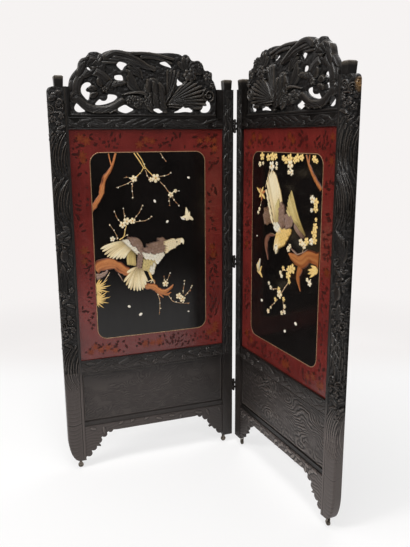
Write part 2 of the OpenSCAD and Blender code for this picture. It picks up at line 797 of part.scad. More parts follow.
leaf(RIGHT) mid_rail();  // right_mid_rail
leaf(RIGHT) bottom_rail();  // right_bottom_rail
leaf(RIGHT) apron();  // right_apron
leaf(RIGHT) lower_panel();  // right_lower_panel
leaf(RIGHT) border_board();  // right_border_board
leaf(RIGHT) picture_panel();  // right_picture_panel
leaf(RIGHT) gold_line();  // right_gold_line
leaf(RIGHT) back_board();  // right_back_board
leaf(RIGHT) crest();  // right_crest
leaf(RIGHT) crest_uprights();  // right_crest_uprights
leaf(RIGHT) finial(outer_finial_x);  // right_outer_finial
leaf(RIGHT) finial(hinge_finial_x);  // right_hinge_finial
leaf(RIGHT) right_bone_inlay();
leaf(RIGHT) right_wood_inlay();
leaf(RIGHT) hinge_plates(1);  // right_hinge_plates
leaf(RIGHT) hinge_screws();  // right_hinge_screws
leaf(RIGHT) caster_plates();  // right_caster_plates
hinge_pins();
leaf(LEFT) caster_at(outer_caster_x) caster_fork();  // left_outer_fork
leaf(LEFT) caster_at(outer_caster_x) caster_axle();  // left_outer_axle
leaf(LEFT) caster_at(outer_caster_x) caster_wheel();  // left_outer_wheel
leaf(LEFT) caster_at(inner_caster_in) caster_fork();  // left_inner_fork
leaf(LEFT) caster_at(inner_caster_in) caster_axle();  // left_inner_axle
leaf(LEFT) caster_at(inner_caster_in) caster_wheel();  // left_inner_wheel
leaf(RIGHT) caster_at(outer_caster_x) caster_fork();  // right_outer_fork
leaf(RIGHT) caster_at(outer_caster_x) caster_axle();  // right_outer_axle
leaf(RIGHT) caster_at(outer_caster_x) caster_wheel();  // right_outer_wheel
leaf(RIGHT) caster_at(inner_caster_in) caster_fork();  // right_inner_fork
leaf(RIGHT) caster_at(inner_caster_in) caster_axle();  // right_inner_axle
leaf(RIGHT) caster_at(inner_caster_in) caster_wheel();  // right_inner_wheel
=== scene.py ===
"""Folding screen: two carved and ebonised leaves, lacquered, inlaid and hinged.

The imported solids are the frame. This script carves the posts, rails, crests and panels in
relief, lays the inlay and the painted leaves, dresses the hinges and the casters, and sets the
floor, the light and the camera. Sizes are in millimetres on a leaf's own axes: x runs out from
the hinge edge, y runs back from the carved face, and z runs up from the floor.
"""
from __future__ import annotations

import json
import logging
import math
from collections.abc import Iterable
from dataclasses import dataclass, field
from enum import Enum
from itertools import cycle
from typing import TypeVar

import bpy
import numpy as np
from mathutils import Matrix

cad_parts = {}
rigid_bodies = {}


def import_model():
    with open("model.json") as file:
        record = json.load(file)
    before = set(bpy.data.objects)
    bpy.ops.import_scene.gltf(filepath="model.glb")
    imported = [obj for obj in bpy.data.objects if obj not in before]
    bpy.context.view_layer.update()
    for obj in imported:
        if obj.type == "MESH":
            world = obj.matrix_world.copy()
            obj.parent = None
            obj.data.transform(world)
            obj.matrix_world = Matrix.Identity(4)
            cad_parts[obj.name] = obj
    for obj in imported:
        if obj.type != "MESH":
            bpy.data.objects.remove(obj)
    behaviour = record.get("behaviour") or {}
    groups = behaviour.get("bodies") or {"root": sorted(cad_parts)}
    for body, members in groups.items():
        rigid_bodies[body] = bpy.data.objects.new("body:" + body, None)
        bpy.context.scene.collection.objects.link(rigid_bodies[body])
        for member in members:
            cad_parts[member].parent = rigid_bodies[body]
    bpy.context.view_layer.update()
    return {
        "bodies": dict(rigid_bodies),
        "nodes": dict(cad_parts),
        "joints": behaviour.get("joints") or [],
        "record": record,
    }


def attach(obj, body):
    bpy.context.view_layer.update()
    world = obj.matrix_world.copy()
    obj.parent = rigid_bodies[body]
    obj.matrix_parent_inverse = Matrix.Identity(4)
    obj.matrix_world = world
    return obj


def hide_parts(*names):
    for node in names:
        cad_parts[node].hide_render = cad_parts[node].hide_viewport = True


LOG = logging.getLogger("folding_screen")
MM = 0.001
# How far the pores are drawn out on each axis where the grain runs along a rail
ALONG_RAIL = (10, 10, 1)
# Settings that many nodes share
BLEND = {"out": 2, "data_type": "RGBA"}
TINT = BLEND | {"blend_type": "MULTIPLY"}
TIMES = {"operation": "MULTIPLY"}
LARGER = {"operation": "MAXIMUM"}
EASED = {"interpolation_type": "SMOOTHSTEP"}
Array = np.ndarray
Socket = bpy.types.NodeSocket
Point = tuple[float, float]
Points = list[Point]
Triple = tuple[float, float, float]
Option = TypeVar("Option")
# The closed leaves clear each other where no relief stands higher than this, in millimetres
RELIEF_LIMIT = 4.8
# A distance to an outline is worked out up to this many millimetres
OUTLINE_REACH = 8.0
# The "rise" of a surface that isn't carved
PLAIN_RISE = 0.42
# Inlaid pieces reach this many millimetres into the lacquer
BEDDING = 0.3


class Side(Enum):
    """The leaf on the left or on the right, seen from the carved side."""

    LEFT = -1
    RIGHT = 1

    @property
    def word(self) -> str:
        """Return the side's name as the nodes spell it."""
        return self.name.lower()


class Motif(Enum):
    """A motif of the outer posts, with the height that it takes up, in millimetres."""

    BLOSSOMS = 42
    LEAVES = 44
    SCROLLS = 45
    PLUMES = 84
    STREAMS = 176
    BARK = 158
    BIRD = 88
    ROCKS = 40


@dataclass(frozen=True)
class ScreenSizes:
    """The main sizes of the screen, as the solids have them, in millimetres.

    A leaf is drawn over a line that runs "lift" above the floor, 27 mm under its posts.
    """

    lift: float = 10.0
    leaf_w: float = 762.0
    leaf_t: float = 36.0
    post_top: float = 1600.0
    foot_z: float = 27.0
    hinge_post_w: float = 48.0
    outer_post_w: float = 72.0
    post_band: float = 433.0
    top_corner_r: float = 20.0
    foot_sweep_w: float = 43.0
    foot_sweep_h: float = 110.0
    half_angle: float = 47.5
    edge_gap: float = 4.5
    pin_proud: float = 6.0
    top_rail_z: float = 1440.0
    top_rail_top: float = 1487.0
    mid_rail_z: float = 425.0
    mid_rail_top: float = 485.0
    rail_face: float = 3.0
    ledge_z: float = 203.0
    apron_top: float = 182.0
    bracket_low: float = 40.0
    apron_face: float = 2.0
    apron_t: float = 14.0
    lower_face: float = 13.0
    board_face: float = 10.0
    picture_x: float = 126.0
    picture_z: float = 572.0
    picture_w: float = 486.0
    picture_h: float = 778.0
    opening_r: float = 26.0
    picture_r: float = 42.0
    crest_x: float = 72.0
    crest_w: float = 608.0
    crest_h: float = 253.0
    crest_t: float = 22.0

    @property
    def opening_end(self) -> float:
        """Return where the opening ends and the outer post begins."""
        return self.leaf_w - self.outer_post_w

    @property
    def crest_face(self) -> float:
        """Return the crest board's set-back behind the carved face."""
        return (self.leaf_t - self.crest_t) / 2

    @property
    def centre_y(self) -> float:
        """Return how far behind the origin the hinge pin stands.

        Returns:
            The distance, which centres the screen on the origin.
        """
        a = math.radians(self.half_angle)
        back = (self.leaf_t + self.pin_proud) * math.sin(a) - self.edge_gap * math.cos(a)
        front = (self.leaf_w + self.edge_gap) * math.cos(a) - self.pin_proud * math.sin(a)
        return (front - back) / 2


SIZES = ScreenSizes()


@dataclass(frozen=True)
class LeafPlace:
    """Where a leaf stands, and how its flat drawing is swung into the V."""

    side: Side

    def pick(self, left: Option, right: Option) -> Option:
        """Return the one of a pair that belongs to this leaf."""
        return left if self.side is Side.LEFT else right

    def to_world(self, points: Array) -> Array:
        """Move points from the leaf's own axes to the floor's axes.

        Args:
            points: an (n, 3) array in millimetres on the leaf's axes.

        Returns:
            The same points in metres.
        """
        a = math.radians(SIZES.half_angle)
        out, back = points[:, 0] + SIZES.edge_gap, points[:, 1] + SIZES.pin_proud
        x = self.side.value * (out * math.sin(a) + back * math.cos(a))
        y = SIZES.centre_y - out * math.cos(a) + back * math.sin(a)
        return np.stack([x, y, points[:, 2] + SIZES.lift], axis=1) * MM

    def to_leaf(self, points: Array) -> Array:
        """Move points from metres on the floor's axes back to the leaf's own millimetres.

        Args:
            points: an (n, 3) array in metres.

        Returns:
            The same points in millimetres.
        """
        a = math.radians(SIZES.half_angle)
        p = points / MM
        x, y = self.side.value * p[:, 0], p[:, 1] - SIZES.centre_y
        out = x * math.sin(a) - y * math.cos(a)
        back = x * math.cos(a) + y * math.sin(a)
        return np.stack(
            [out - SIZES.edge_gap, back - SIZES.pin_proud, p[:, 2] - SIZES.lift], axis=1)


def linear(hex_colour: str) -> tuple[float, float, float, float]:
    """Turn an sRGB hex colour into the linear colour that the shader wants.

    Args:
        hex_colour: six hex digits after a hash.

    Returns:
        Red, green, blue and an alpha of one.
    """
    parts = [int(hex_colour[i:i + 2], 16) / 255 for i in (1, 3, 5)]
    out = [p / 12.92 if p <= 0.04045 else ((p + 0.055) / 1.055) ** 2.4 for p in parts]
    return out[0], out[1], out[2], 1.0


@dataclass(frozen=True)
class Nodes:
    """The node tree of a material or of the world."""

    tree: bpy.types.NodeTree

    @classmethod
    def of(cls, owner: bpy.types.Material | bpy.types.World) -> Nodes:
        """Return the owner's tree, switched on and emptied.

        Args:
            owner: the material or the world.

        Returns:
            Its empty tree.
        """
        owner.use_nodes = True
        owner.node_tree.nodes.clear()
        return cls(owner.node_tree)

    def add(self, kind: str, inputs: dict | tuple = (), out: int | str = 0,
            stops: Iterable[tuple[float, str]] = (), **settings: object) -> Socket | None:
        """Add a node, with its settings, values and links.

        Args:
            kind: the node's type without the words ShaderNode.
            inputs: values, or sockets to link from, in order or by name or number.
            out: the output that is wanted.
            stops: a colour ramp's places and hex colours.
            settings: the node's own settings.

        Returns:
            The output, or None where the node has none.
        """
        node = self.tree.nodes.new("ShaderNode" + kind)
        for name, value in settings.items():
            setattr(node, name, value)
        for name, value in inputs.items() if isinstance(inputs, dict) else enumerate(inputs):
            if isinstance(value, Socket):
                self.tree.links.new(value, node.inputs[name])
            else:
                node.inputs[name].default_value = value
        for i, (place, colour) in enumerate(stops):
            ramp = node.color_ramp.elements
            element = ramp[i] if i < len(ramp) else ramp.new(1.0)
            element.position = place
            element.color = linear(colour)
        return node.outputs[out] if node.outputs else None

    def pattern(self, size_mm: float, detail: float = 3.0, stretch: Triple = (1, 1, 1)) -> Socket:
        """Return a cloudy pattern whose spots have a real size on the object.

        Args:
            size_mm: how wide a spot is.
            detail: how many finer layers it has.
            stretch: how much longer a spot is along each axis.

        Returns:
            The pattern, mostly from 0.3 to 0.7.
        """
        spots = tuple(1 / (size_mm * MM * s) for s in stretch)
        where = self.add("Mapping", {"Vector": self.add("TexCoord", out="Object"), "Scale": spots})
        return self.add("TexNoise", {"Vector": where, "Scale": 1.0, "Detail": detail}, "Fac")


@dataclass(frozen=True)
class Finish:
    """What every finish has: a name, a record slot and the shader's own numbers."""

    name: str
    slot: str
    ior: float = 1.5
    metallic: float = 0.0
    bump_mm: float = 0.06

    def material(self) -> bpy.types.Material:
        """Return the finish's material, made on first use.

        Returns:
            The material, the same one for every piece of this finish.
        """
        made = bpy.data.materials.get(self.name)
        if made:
            return made
        made = bpy.data.materials.new(self.name)
        nodes = Nodes.of(made)
        colour, rough, height = self.dress(nodes)
        normal = nodes.add(
            "Bump", {"Height": height, "Strength": 1.0, "Distance": self.bump_mm * MM})
        nodes.add("OutputMaterial", (nodes.add("BsdfPrincipled", {
            "Base Color": colour, "Metallic": self.metallic, "Roughness": rough,
            "IOR": self.ior, "Normal": normal}),))
        return made

    def dress(self, nodes: Nodes) -> tuple[Socket, Socket, Socket]:
        """Return the surface's colour, its roughness and the height of its bump.

        Args:
            nodes: the material's node tree.

        Returns:
            The colour, the roughness and the height of the bump.
        """
        raise NotImplementedError


@dataclass(frozen=True)
class EbonisedWood(Finish):
    """Hardwood stained black, rubbed by hand to a low sheen.

    The stain is thin on the high places, which show browner and smoother. The colour by height
    also paints shade into the hollows and a highlight onto the high places, and near the floor a
    paler colour stands for dirt and for a painted sheen from the floor. Carved pieces carry their
    height as "rise".
    """

    ior: float = 1.42
    bump_mm: float = 0.12
    carved: bool = True
    grain: Triple = (1, 1, 14)
    # How much grey shows below about 450 mm: dust, and a painted sheen from the pale floor
    dust: float = 1.0
    worn_from: float = 0.0
    steps: tuple[str, ...] = ("#0b0a0a", "#191716", "#24211f", "#35312d", "#4f4944")

    def dress(self, nodes: Nodes) -> tuple[Socket, Socket, Socket]:
        """Colour by the height of the carving, grain, dust and wear.

        Args:
            nodes: the material's node tree.

        Returns:
            The colour, the roughness and the height of the bump.
        """
        # Open pores, drawn out along the grain, are about 0.2 mm wide. That is too fine to show,
        # so they are drawn 1.2 mm wide. The stain took unevenly, in clouds about a hand wide
        pores = nodes.pattern(1.2, 4.0, self.grain)
        clouds = nodes.pattern(90)
        where = nodes.add("TexCoord", out="Object")
        x, _, z = nodes.add("SeparateXYZ", (where,)).node.outputs
        if self.carved:
            rise = nodes.add("Attribute", out="Fac", attribute_name="rise")
            # Colour by rise: brown on the high places, where the stain is rubbed thin and as a
            # painted highlight, and black in the hollows as a painted shade
            colour = nodes.add(
                "ValToRGB", (rise,), stops=zip((0.0, 0.4, 0.62, 0.84, 1.0), self.steps))
            rough = nodes.add("MapRange", (rise, 0.2, 0.85, 0.55, 0.25))
            # The grey near the floor is dark in the hollows and pale on the ridges too: painted
            # shade and painted highlight
            grey = nodes.add("ValToRGB", (rise,), stops=(
                (0.15, "#151211"), (0.42, "#4a423f"), (0.64, "#5f5652"), (0.92, "#837a74")))
        else:
            colour = nodes.add("ValToRGB", (clouds,), stops=((0.3, "#12100e"), (0.7, "#1e1a18")))
            rough = nodes.add("MapRange", (clouds, 0.3, 0.7, 0.3, 0.4))
            grey = linear("#463f3c")
        stain = nodes.add("ValToRGB", (clouds,), stops=((0.35, "#c9c2bd"), (0.65, "#ffffff")))
        streak = nodes.add("ValToRGB", (pores,), stops=((0.36, "#8f8883"), (0.55, "#ffffff")))
        colour = nodes.add("Mix", {0: 1.0, 6: colour, 7: stain}, **TINT)
        colour = nodes.add("Mix", {0: 0.6, 6: colour, 7: streak}, **TINT)
        # Below about 450 mm the wood turns greyer: dust and scuffs, and a painted sheen from
        # the pale floor. On the left leaf a little less, a painted difference in light between
        # the leaves, and least in the corner beside the hinge, a painted shade
        low = nodes.add("Math", (nodes.add("MapRange", (z, 0.50, 0.36, 0.0, self.dust)),
                                 nodes.add("MapRange", (x, -0.1, 0.1, 0.84, 1.0))), **TIMES)
        # Painted shade: less of the grey near the hinge, so the wood stays darker in the corner of
        # the V
        out = nodes.add("Math", (x,), operation="ABSOLUTE")
        hinge_shade = nodes.add("MapRange", (out, 0.03, 0.26, 0.3, 0.95))
        colour = nodes.add(
            "Mix", {0: nodes.add("Math", (low, hinge_shade), **TIMES), 6: colour, 7: grey}, **BLEND)
        if self.carved:
            # The right post's top corner is rubbed through to the golden-brown wood, in a spot
            # that is a little higher than wide
            corner = (0.589, -0.252, 1.262)
            squat = nodes.add("VectorMath", (where, (1, 1, 0.8)), **TIMES)
            away = nodes.add("VectorMath", (squat, corner), "Value", operation="DISTANCE")
            worn = nodes.add(
                "Math", (nodes.add("MapRange", (away, 0.006, 0.022, 0.85, 0.0)),
                         nodes.add("MapRange", (pores, 0.35, 0.55, 0.4, 1.0))), **TIMES)
            colour = nodes.add("Mix", {0: worn, 6: colour, 7: linear("#b08a5c")}, **BLEND)
        if self.worn_from:
            # The top ends turn grey-brown, in spots of about 5 mm
            top = nodes.add("MapRange", (z, self.worn_from, self.worn_from + 0.014, 0.0, 0.85))
            spots = nodes.add("MapRange", (nodes.pattern(5), 0.3, 0.6, 0.2, 1.0))
            colour = nodes.add("Mix", {0: nodes.add("Math", (top, spots), **TIMES), 6: colour,
                                       7: linear("#6b6257")}, **BLEND)
        # Small facets left by the chisel, or the plane's slow waves, lie under the pores
        facet_mm, share = (8, 7.0) if self.carved else (40, 2.0)
        height = nodes.add(
            "Math", (nodes.pattern(facet_mm, 2.0), share, pores), operation="MULTIPLY_ADD")
        return colour, rough, height


@dataclass(frozen=True)
class Lacquer(Finish):
    """Many thin coats over a board, rubbed and polished to a gloss.

    It gives the eye one deep colour with slow clouds in it, fine rubbing marks and a surface
    that is never quite flat.
    """

    bump_mm: float = 0.05
    deep: str = "#120f0e"
    light: str = "#1d1917"
    rough: float = 0.16

    def dress(self, nodes: Nodes) -> tuple[Socket, Socket, Socket]:
        """Colour by slow clouds, with rubbing marks in the gloss.

        Args:
            nodes: the material's node tree.

        Returns:
            The colour, the roughness and the height of the bump.
        """
        # The coats pooled in clouds wider than a hand. Dust pits and rubbing marks are well under
        # a millimetre, too fine to show, so they are drawn 1.6 mm and 14 mm wide
        colour = nodes.add(
            "ValToRGB", (nodes.pattern(120, 4.0),), stops=((0.3, self.deep), (0.7, self.light)))
        specks = nodes.add(
            "ValToRGB", (nodes.pattern(1.6, 2.0),), stops=((0.28, "#6e6e6e"), (0.42, "#ffffff")))
        rub = nodes.pattern(14, 4.0, (1, 1, 5))
        # The board has moved under the coats in waves of about 28 mm, which bend the highlights
        return (nodes.add("Mix", {0: 0.35, 6: colour, 7: specks}, **TINT),
                nodes.add("MapRange", (rub, 0.3, 0.7, self.rough * 0.8, self.rough * 1.35)),
                nodes.pattern(28, 2.0))


@dataclass(frozen=True)
class Tinted(Finish):
    """Carved bone, shell and inlay wood: close striations, engraved lines and a soft polish.

    The striations follow the material, and the "rise" of the carving darkens the cuts, where old
    polish and dirt have settled, and the edges of each piece, a painted shade where its sides turn
    down to the lacquer. The "tone" of each cut piece makes it darker or paler.
    """

    dark: str = "#8a7a58"
    mid: str = "#d8cba0"
    pale: str = "#efe6cc"
    rough: float = 0.36
    striation_mm: float = 1.1

    def dress(self, nodes: Nodes) -> tuple[Socket, Socket, Socket]:
        """Colour by the carving's height, piece by piece tone and striations.

        Args:
            nodes: the material's node tree.

        Returns:
            The colour, the roughness and the height of the bump.
        """
        colour = nodes.add("ValToRGB", (nodes.add("Attribute", out="Fac", attribute_name="rise"),),
                           stops=((0.08, self.dark), (0.42, self.mid), (0.9, self.pale)))
        shade = nodes.add("ValToRGB", (nodes.add("Attribute", out="Fac", attribute_name="tone"),),
                          stops=((0.0, "#d6c8ad"), (0.5, "#fdf7ea"), (1.0, "#ffffff")))
        # Growth lines lie about 0.3 mm apart, too fine to show, so they are drawn wider
        lines = nodes.pattern(self.striation_mm, 3.0, (1, 1, 7))
        streak = nodes.add("ValToRGB", (lines,), stops=((0.3, "#9b8f7c"), (0.54, "#ffffff")))
        colour = nodes.add("Mix", {0: 1.0, 6: colour, 7: shade}, **TINT)
        return (nodes.add("Mix", {0: 0.34, 6: colour, 7: streak}, **TINT),
                nodes.add("MapRange", (lines, 0.3, 0.7, self.rough * 0.8, self.rough * 1.2)),
                lines)


@dataclass(frozen=True)
class OldMetal(Finish):
    """Cast or forged metal, dark with age, rubbed bright only where it is handled."""

    bump_mm: float = 0.08
    dark: str = "#2a2622"
    bright: str = "#4a423a"
    rough: float = 0.5

    def dress(self, nodes: Nodes) -> tuple[Socket, Socket, Socket]:
        """Colour by tarnish, with a fine cast grit in the surface.

        Args:
            nodes: the material's node tree.

        Returns:
            The colour, the roughness and the height of the bump.
        """
        # Tarnish lies in patches of about 6 mm. The grit of the casting is about 0.2 mm, too fine
        # to show, so it is drawn 0.9 mm wide
        tarnish = nodes.pattern(6, 4.0)
        return (nodes.add("ValToRGB", (tarnish,), stops=((0.32, self.dark), (0.68, self.bright))),
                nodes.add("MapRange", (tarnish, 0.3, 0.7, self.rough * 1.2, self.rough * 0.75)),
                nodes.pattern(0.9))


def ebonised(word: str, **traits: object) -> EbonisedWood:
    """Return the ebonised wood of one group of pieces."""
    return EbonisedWood("ebonised_wood_" + word, "ebonised_wood", **traits)


# The frame's carving: brown on its high places, partly wear and partly a painted highlight, and
# black in its hollows, a painted shade
CARVED_EBONY = ebonised("carved")
# Planed posts: an even brownish black with a soft sheen
PLAIN_EBONY = ebonised("plain", carved=False)
# The crests' carving: less brown on its high places, since few hands reach it, and paler in its
# middle tones; its black hollows are painted shade too
CREST_EBONY = ebonised("crest", steps=("#0a0909", "#1b1918", "#292624", "#39352f", "#4c4741"))
# Rails and panel boards: as the posts, with the grain lengthwise
RAIL_EBONY = ebonised("rail", carved=False, grain=ALONG_RAIL)
# Lower panels: carved, with less of the dust and painted floor sheen than the aprons
PANEL_EBONY = ebonised("panel", grain=ALONG_RAIL, dust=0.55)
# The right ledge: none of the dust and floor sheen grey, so it shows black, a painted shade
SHADED_LEDGE_EBONY = ebonised("ledge", carved=False, grain=ALONG_RAIL, dust=0.0)
# The left ledge: half the dust and painted floor sheen, so it shows a grey line
STEP_EBONY = ebonised("step", carved=False, grain=ALONG_RAIL, dust=0.5)
# Finials: grey-brown at their tops
FINIAL_EBONY = ebonised("finial", carved=False, worn_from=1.634)
# The borders: a deep warm gloss with slow red-brown clouds
RED_LACQUER = Lacquer(
    "lacquer_red_polished", "red_lacquer", ior=1.56, deep="#5b1c19", light="#732823", rough=0.2)
# The pictures' ground: nearly black, and it mirrors the room
BLACK_LACQUER = Lacquer(
    "lacquer_black_polished", "black_lacquer", ior=1.42, deep="#0d0b0a", light="#151211",
    rough=0.12)
# The backs: left from the brush, browner, with a soft shine
BACK_LACQUER = Lacquer(
    "lacquer_black_brushed", "black_lacquer", ior=1.4, deep="#141110", light="#211b18", rough=0.3)
# The line round a picture: gilt gone dull, hardly metallic
GOLD_LINE = OldMetal(
    "gilt_line_dull", "gold_line", metallic=0.4, dark="#94704f", bright="#bd9a74", rough=0.42)
# Maple leaves on the borders: rust and old gold
PAINTED_GOLD = Tinted(
    "gold_paint_leaves", "gold_line", ior=1.4, dark="#5e2415", mid="#79351d", pale="#8f4a26",
    rough=0.34, striation_mm=2.5)
# Fallen leaves on the borders: dark shapes in the red gloss
PAINTED_DARK = Tinted(
    "dark_paint_leaves", "red_lacquer", ior=1.3, dark="#260d0b", mid="#3b1512", pale="#4b1c18",
    rough=0.4, striation_mm=2.5)
# Feathers and petals: cream, with brown in the cuts
BONE = Tinted("bone_carved_polished", "bone", ior=1.54, dark="#7d6238", mid="#f9e7ba",
              pale="#fff8e4")
# Paler feathers and petals: cooler and glossier than the bone
SHELL = Tinted("shell_white_polished", "bone", ior=1.53, dark="#958a74", mid="#ece5d2",
               pale="#fdfaf0", rough=0.22)
# Yellow blossoms, leaves and pine: warm and fairly matt
BOXWOOD = Tinted("boxwood_yellow_oiled", "bone", ior=1.5, dark="#6e4f1c", mid="#eec878",
                 pale="#ffe8a6", rough=0.4)
# Boughs: orange-brown, with an open grain
ORANGE_WOOD = Tinted(
    "fruitwood_orange_oiled", "inlay_wood", ior=1.5, dark="#5c2c14", mid="#b26a3a", pale="#d89862",
    rough=0.42, striation_mm=1.6)
# Long feathers and patches of the wings: olive and slightly glossy
HORN = Tinted("horn_olive_polished", "bone", ior=1.54, dark="#5f5128", mid="#cdb97c",
              pale="#eee0a8", rough=0.3)
# Twigs: a pinkish brown stain in the grain of the bone
TWIG_BONE = Tinted(
    "bone_twigs_stained", "bone", ior=1.54, dark="#5a3424", mid="#c9a482", pale="#ecd6b6",
    rough=0.34)
# Backs and wings of the hawks, and a few twigs: grey-brown with a gloss
BROWN_SHELL = Tinted(
    "shell_brown_polished", "inlay_wood", ior=1.53, dark="#46352f", mid="#8a6f64", pale="#b39c90",
    rough=0.26)
# The dark bough: red-brown, close-grained
ROSEWOOD = Tinted("rosewood_dark_oiled", "inlay_wood", ior=1.5, dark="#2c1611", mid="#6f4638",
                  pale="#9f7461", rough=0.38, striation_mm=1.6)
# Hinges and pins: nearly black, half matt
IRON = OldMetal("iron_blackened", "dark_iron", metallic=0.9, dark="#242120", bright="#3b3734")
# Casters: dark, with a dull glint where they are rubbed
BRASS = OldMetal(
    "brass_cast_aged", "aged_brass", metallic=1.0, dark="#2b2723", bright="#8a8176", rough=0.34)


@dataclass
class Solid:
    """A mesh being built on a leaf's own axes, in millimetres."""

    points: list[Array] = field(default_factory=list)
    faces: list[Array] = field(default_factory=list)
    rises: list[Array] = field(default_factory=list)
    tones: list[Array] = field(default_factory=list)
    count: int = 0

    def add(self, points: Array, faces: list[Array], rise: Array | float = 0.5,
            tone: float = 0.6) -> None:
        """Add points and the faces between them.

        Args:
            points: an (n, 3) array.
            faces: integer arrays, each of triangles or of quads, numbered within points.
            rise: the carving's height at each point, from 0 to 1.
            tone: how pale this piece of the material is, from 0 to 1.
        """
        n = len(points)
        self.points.append(points)
        self.faces += [f + self.count for f in faces if len(f)]
        self.rises.append(np.broadcast_to(np.asarray(rise, float), (n,)))
        self.tones.append(np.full(n, tone))
        self.count += n

    def build(self, name: str, place: LeafPlace, finish: Finish,
              smooth_angle: float = 50.0) -> bpy.types.Object:
        """Make the Blender object, in its place in the standing screen.

        Args:
            name: the piece's name.
            place: the leaf that it belongs to.
            finish: its finish.
            smooth_angle: edges sharper than this, in degrees, stay sharp.

        Returns:
            The new object, linked to the scene.
        """
        world = place.to_world(np.concatenate(self.points))
        mesh = bpy.data.meshes.new(name)
        mesh.vertices.add(len(world))
        mesh.vertices.foreach_set("co", world.astype(np.float32).ravel())
        loops = [f[:, ::place.pick(-1, 1)] for f in self.faces]
        corners = np.concatenate([f.ravel() for f in loops]).astype(np.int32)
        sizes = np.concatenate([np.full(len(f), f.shape[1]) for f in loops]).astype(np.int32)
        mesh.loops.add(len(corners))
        mesh.loops.foreach_set("vertex_index", corners)
        mesh.polygons.add(len(sizes))
        starts = np.concatenate([[0], np.cumsum(sizes)[:-1]]).astype(np.int32)
        mesh.polygons.foreach_set("loop_start", starts)
        mesh.polygons.foreach_set("use_smooth", np.ones(len(sizes), dtype=bool))
        for label, values in (("rise", self.rises), ("tone", self.tones)):
            layer = mesh.attributes.new(label, "FLOAT", "POINT")
            layer.data.foreach_set("value", np.concatenate(values).astype(np.float32))
        mesh.update(calc_edges=True)
        mesh.validate()
        mesh.set_sharp_from_angle(angle=math.radians(smooth_angle))
        mesh.materials.append(finish.material())
        made = bpy.data.objects.new(name, mesh)
        bpy.context.scene.collection.objects.link(made)
        return made


def smooth_path(points: Points, steps: int = 5) -> Array:
    """Return an open smooth curve through the points.

    Args:
        points: the places that the curve goes through.
        steps: how many steps lie between two of them.

    Returns:
        An (n, 2) array.
    """
    p = np.asarray(points, float)
    if len(p) < 3:
        return p[0] + (p[1] - p[0]) * np.linspace(0, 1, steps + 1)[:, None]
    ends = np.concatenate([[2 * p[0] - p[1]], p, [2 * p[-1] - p[-2]]])
    t = np.linspace(0, 1, steps, endpoint=False)[:, None]
    out = []
    for a, b, c, d in zip(ends, ends[1:], ends[2:], ends[3:]):
        out.append(0.5 * (2 * b + (c - a) * t + (2 * a - 5 * b + 4 * c - d) * t ** 2
                          + (3 * b - a - 3 * c + d) * t ** 3))
    return np.concatenate(out + [p[-1:]])


def swept(start: Point, angle: float, length: float, bend: float = 0.0,
          steps: int = 9) -> Array:
    """Return a path from start that sets out at an angle and turns by bend, in degrees.

    Args:
        start: where the path begins.
        angle: the way that it sets out.
        length: its length.
        bend: how far it turns on its way.
        steps: how many steps it has.

    Returns:
        An (n, 2) array.
    """
    turns = np.radians(angle + bend * np.linspace(0, 1, steps))
    step = length / steps * np.stack([np.cos(turns), np.sin(turns)], axis=1)
    return np.concatenate([[start], start + np.cumsum(step, axis=0)])


def nearest(path: Array, x: Array, z: Array) -> tuple[Array, Array, Array]:
    """Find each point's nearest place on a path.

    Args:
        path: an (n, 2) array.
        x: the points' first coordinates.
        z: the points' second coordinates.

    Returns:
        The place along the path from 0 to 1, the offset to its left, and the distance.
    """
    lengths = np.hypot(*np.diff(path, axis=0).T)
    before = np.concatenate([[0], np.cumsum(lengths)])
    best = np.full(x.shape, 1e9)
    place = np.zeros(x.shape)
    offset = np.zeros(x.shape)
    for i, (a, b) in enumerate(zip(path, path[1:])):
        ux, uz = (b - a) / max(lengths[i], 1e-9)
        s = np.clip((x - a[0]) * ux + (z - a[1]) * uz, 0, lengths[i])
        dx, dz = x - a[0] - s * ux, z - a[1] - s * uz
        d = np.hypot(dx, dz)
        closer = d < best
        best = np.where(closer, d, best)
        place = np.where(closer, (before[i] + s) / before[-1], place)
        offset = np.where(closer, np.sign(ux * dz - uz * dx) * d, offset)
    return place, offset, best


def tube_faces(index: Array, inward: bool = False) -> Array:
    """Return the quads between closed rings of points.

    Args:
        index: the points' numbers, one ring in each row.
        inward: whether the faces turn the other way.

    Returns:
        An (n, 4) array of the points' numbers.
    """
    side = np.roll(index, -1, axis=1)
    corners = [index[:-1], side[:-1], side[1:], index[1:]]
    if inward:
        corners[1:] = corners[:0:-1]
    return np.stack(corners, axis=-1).reshape(-1, 4)


def random_field(shape: tuple[int, int], cells: tuple[float, float], seed: int) -> Array:
    """Return a smooth random field from -1 to 1.

    Args:
        shape: rows and columns.
        cells: how many of its hills fit along the rows and along the columns.
        seed: the seed, so that each run gives the same field.

    Returns:
        An array of that shape.
    """
    rng = np.random.default_rng(seed)
    ny, nx = int(cells[0]) + 4, int(cells[1]) + 4
    knots = rng.uniform(-1, 1, (ny, nx))

    def weights(n: int, c: float) -> tuple[Array, Array]:
        """Return the knot before each place, and the eased share of the next one.

        Args:
            n: how many places there are.
            c: how many hills they span.

        Returns:
            The knots' numbers, and the shares from 0 to 1.
        """
        at = np.linspace(1, 1 + c, n)
        i = np.floor(at).astype(int)
        t = at - i
        return i, t * t * (3 - 2 * t)

    iy, ty = weights(shape[0], cells[0])
    ix, tx = weights(shape[1], cells[1])
    rows = knots[iy] * (1 - ty[:, None]) + knots[iy + 1] * ty[:, None]
    return rows[:, ix] * (1 - tx) + rows[:, ix + 1] * tx


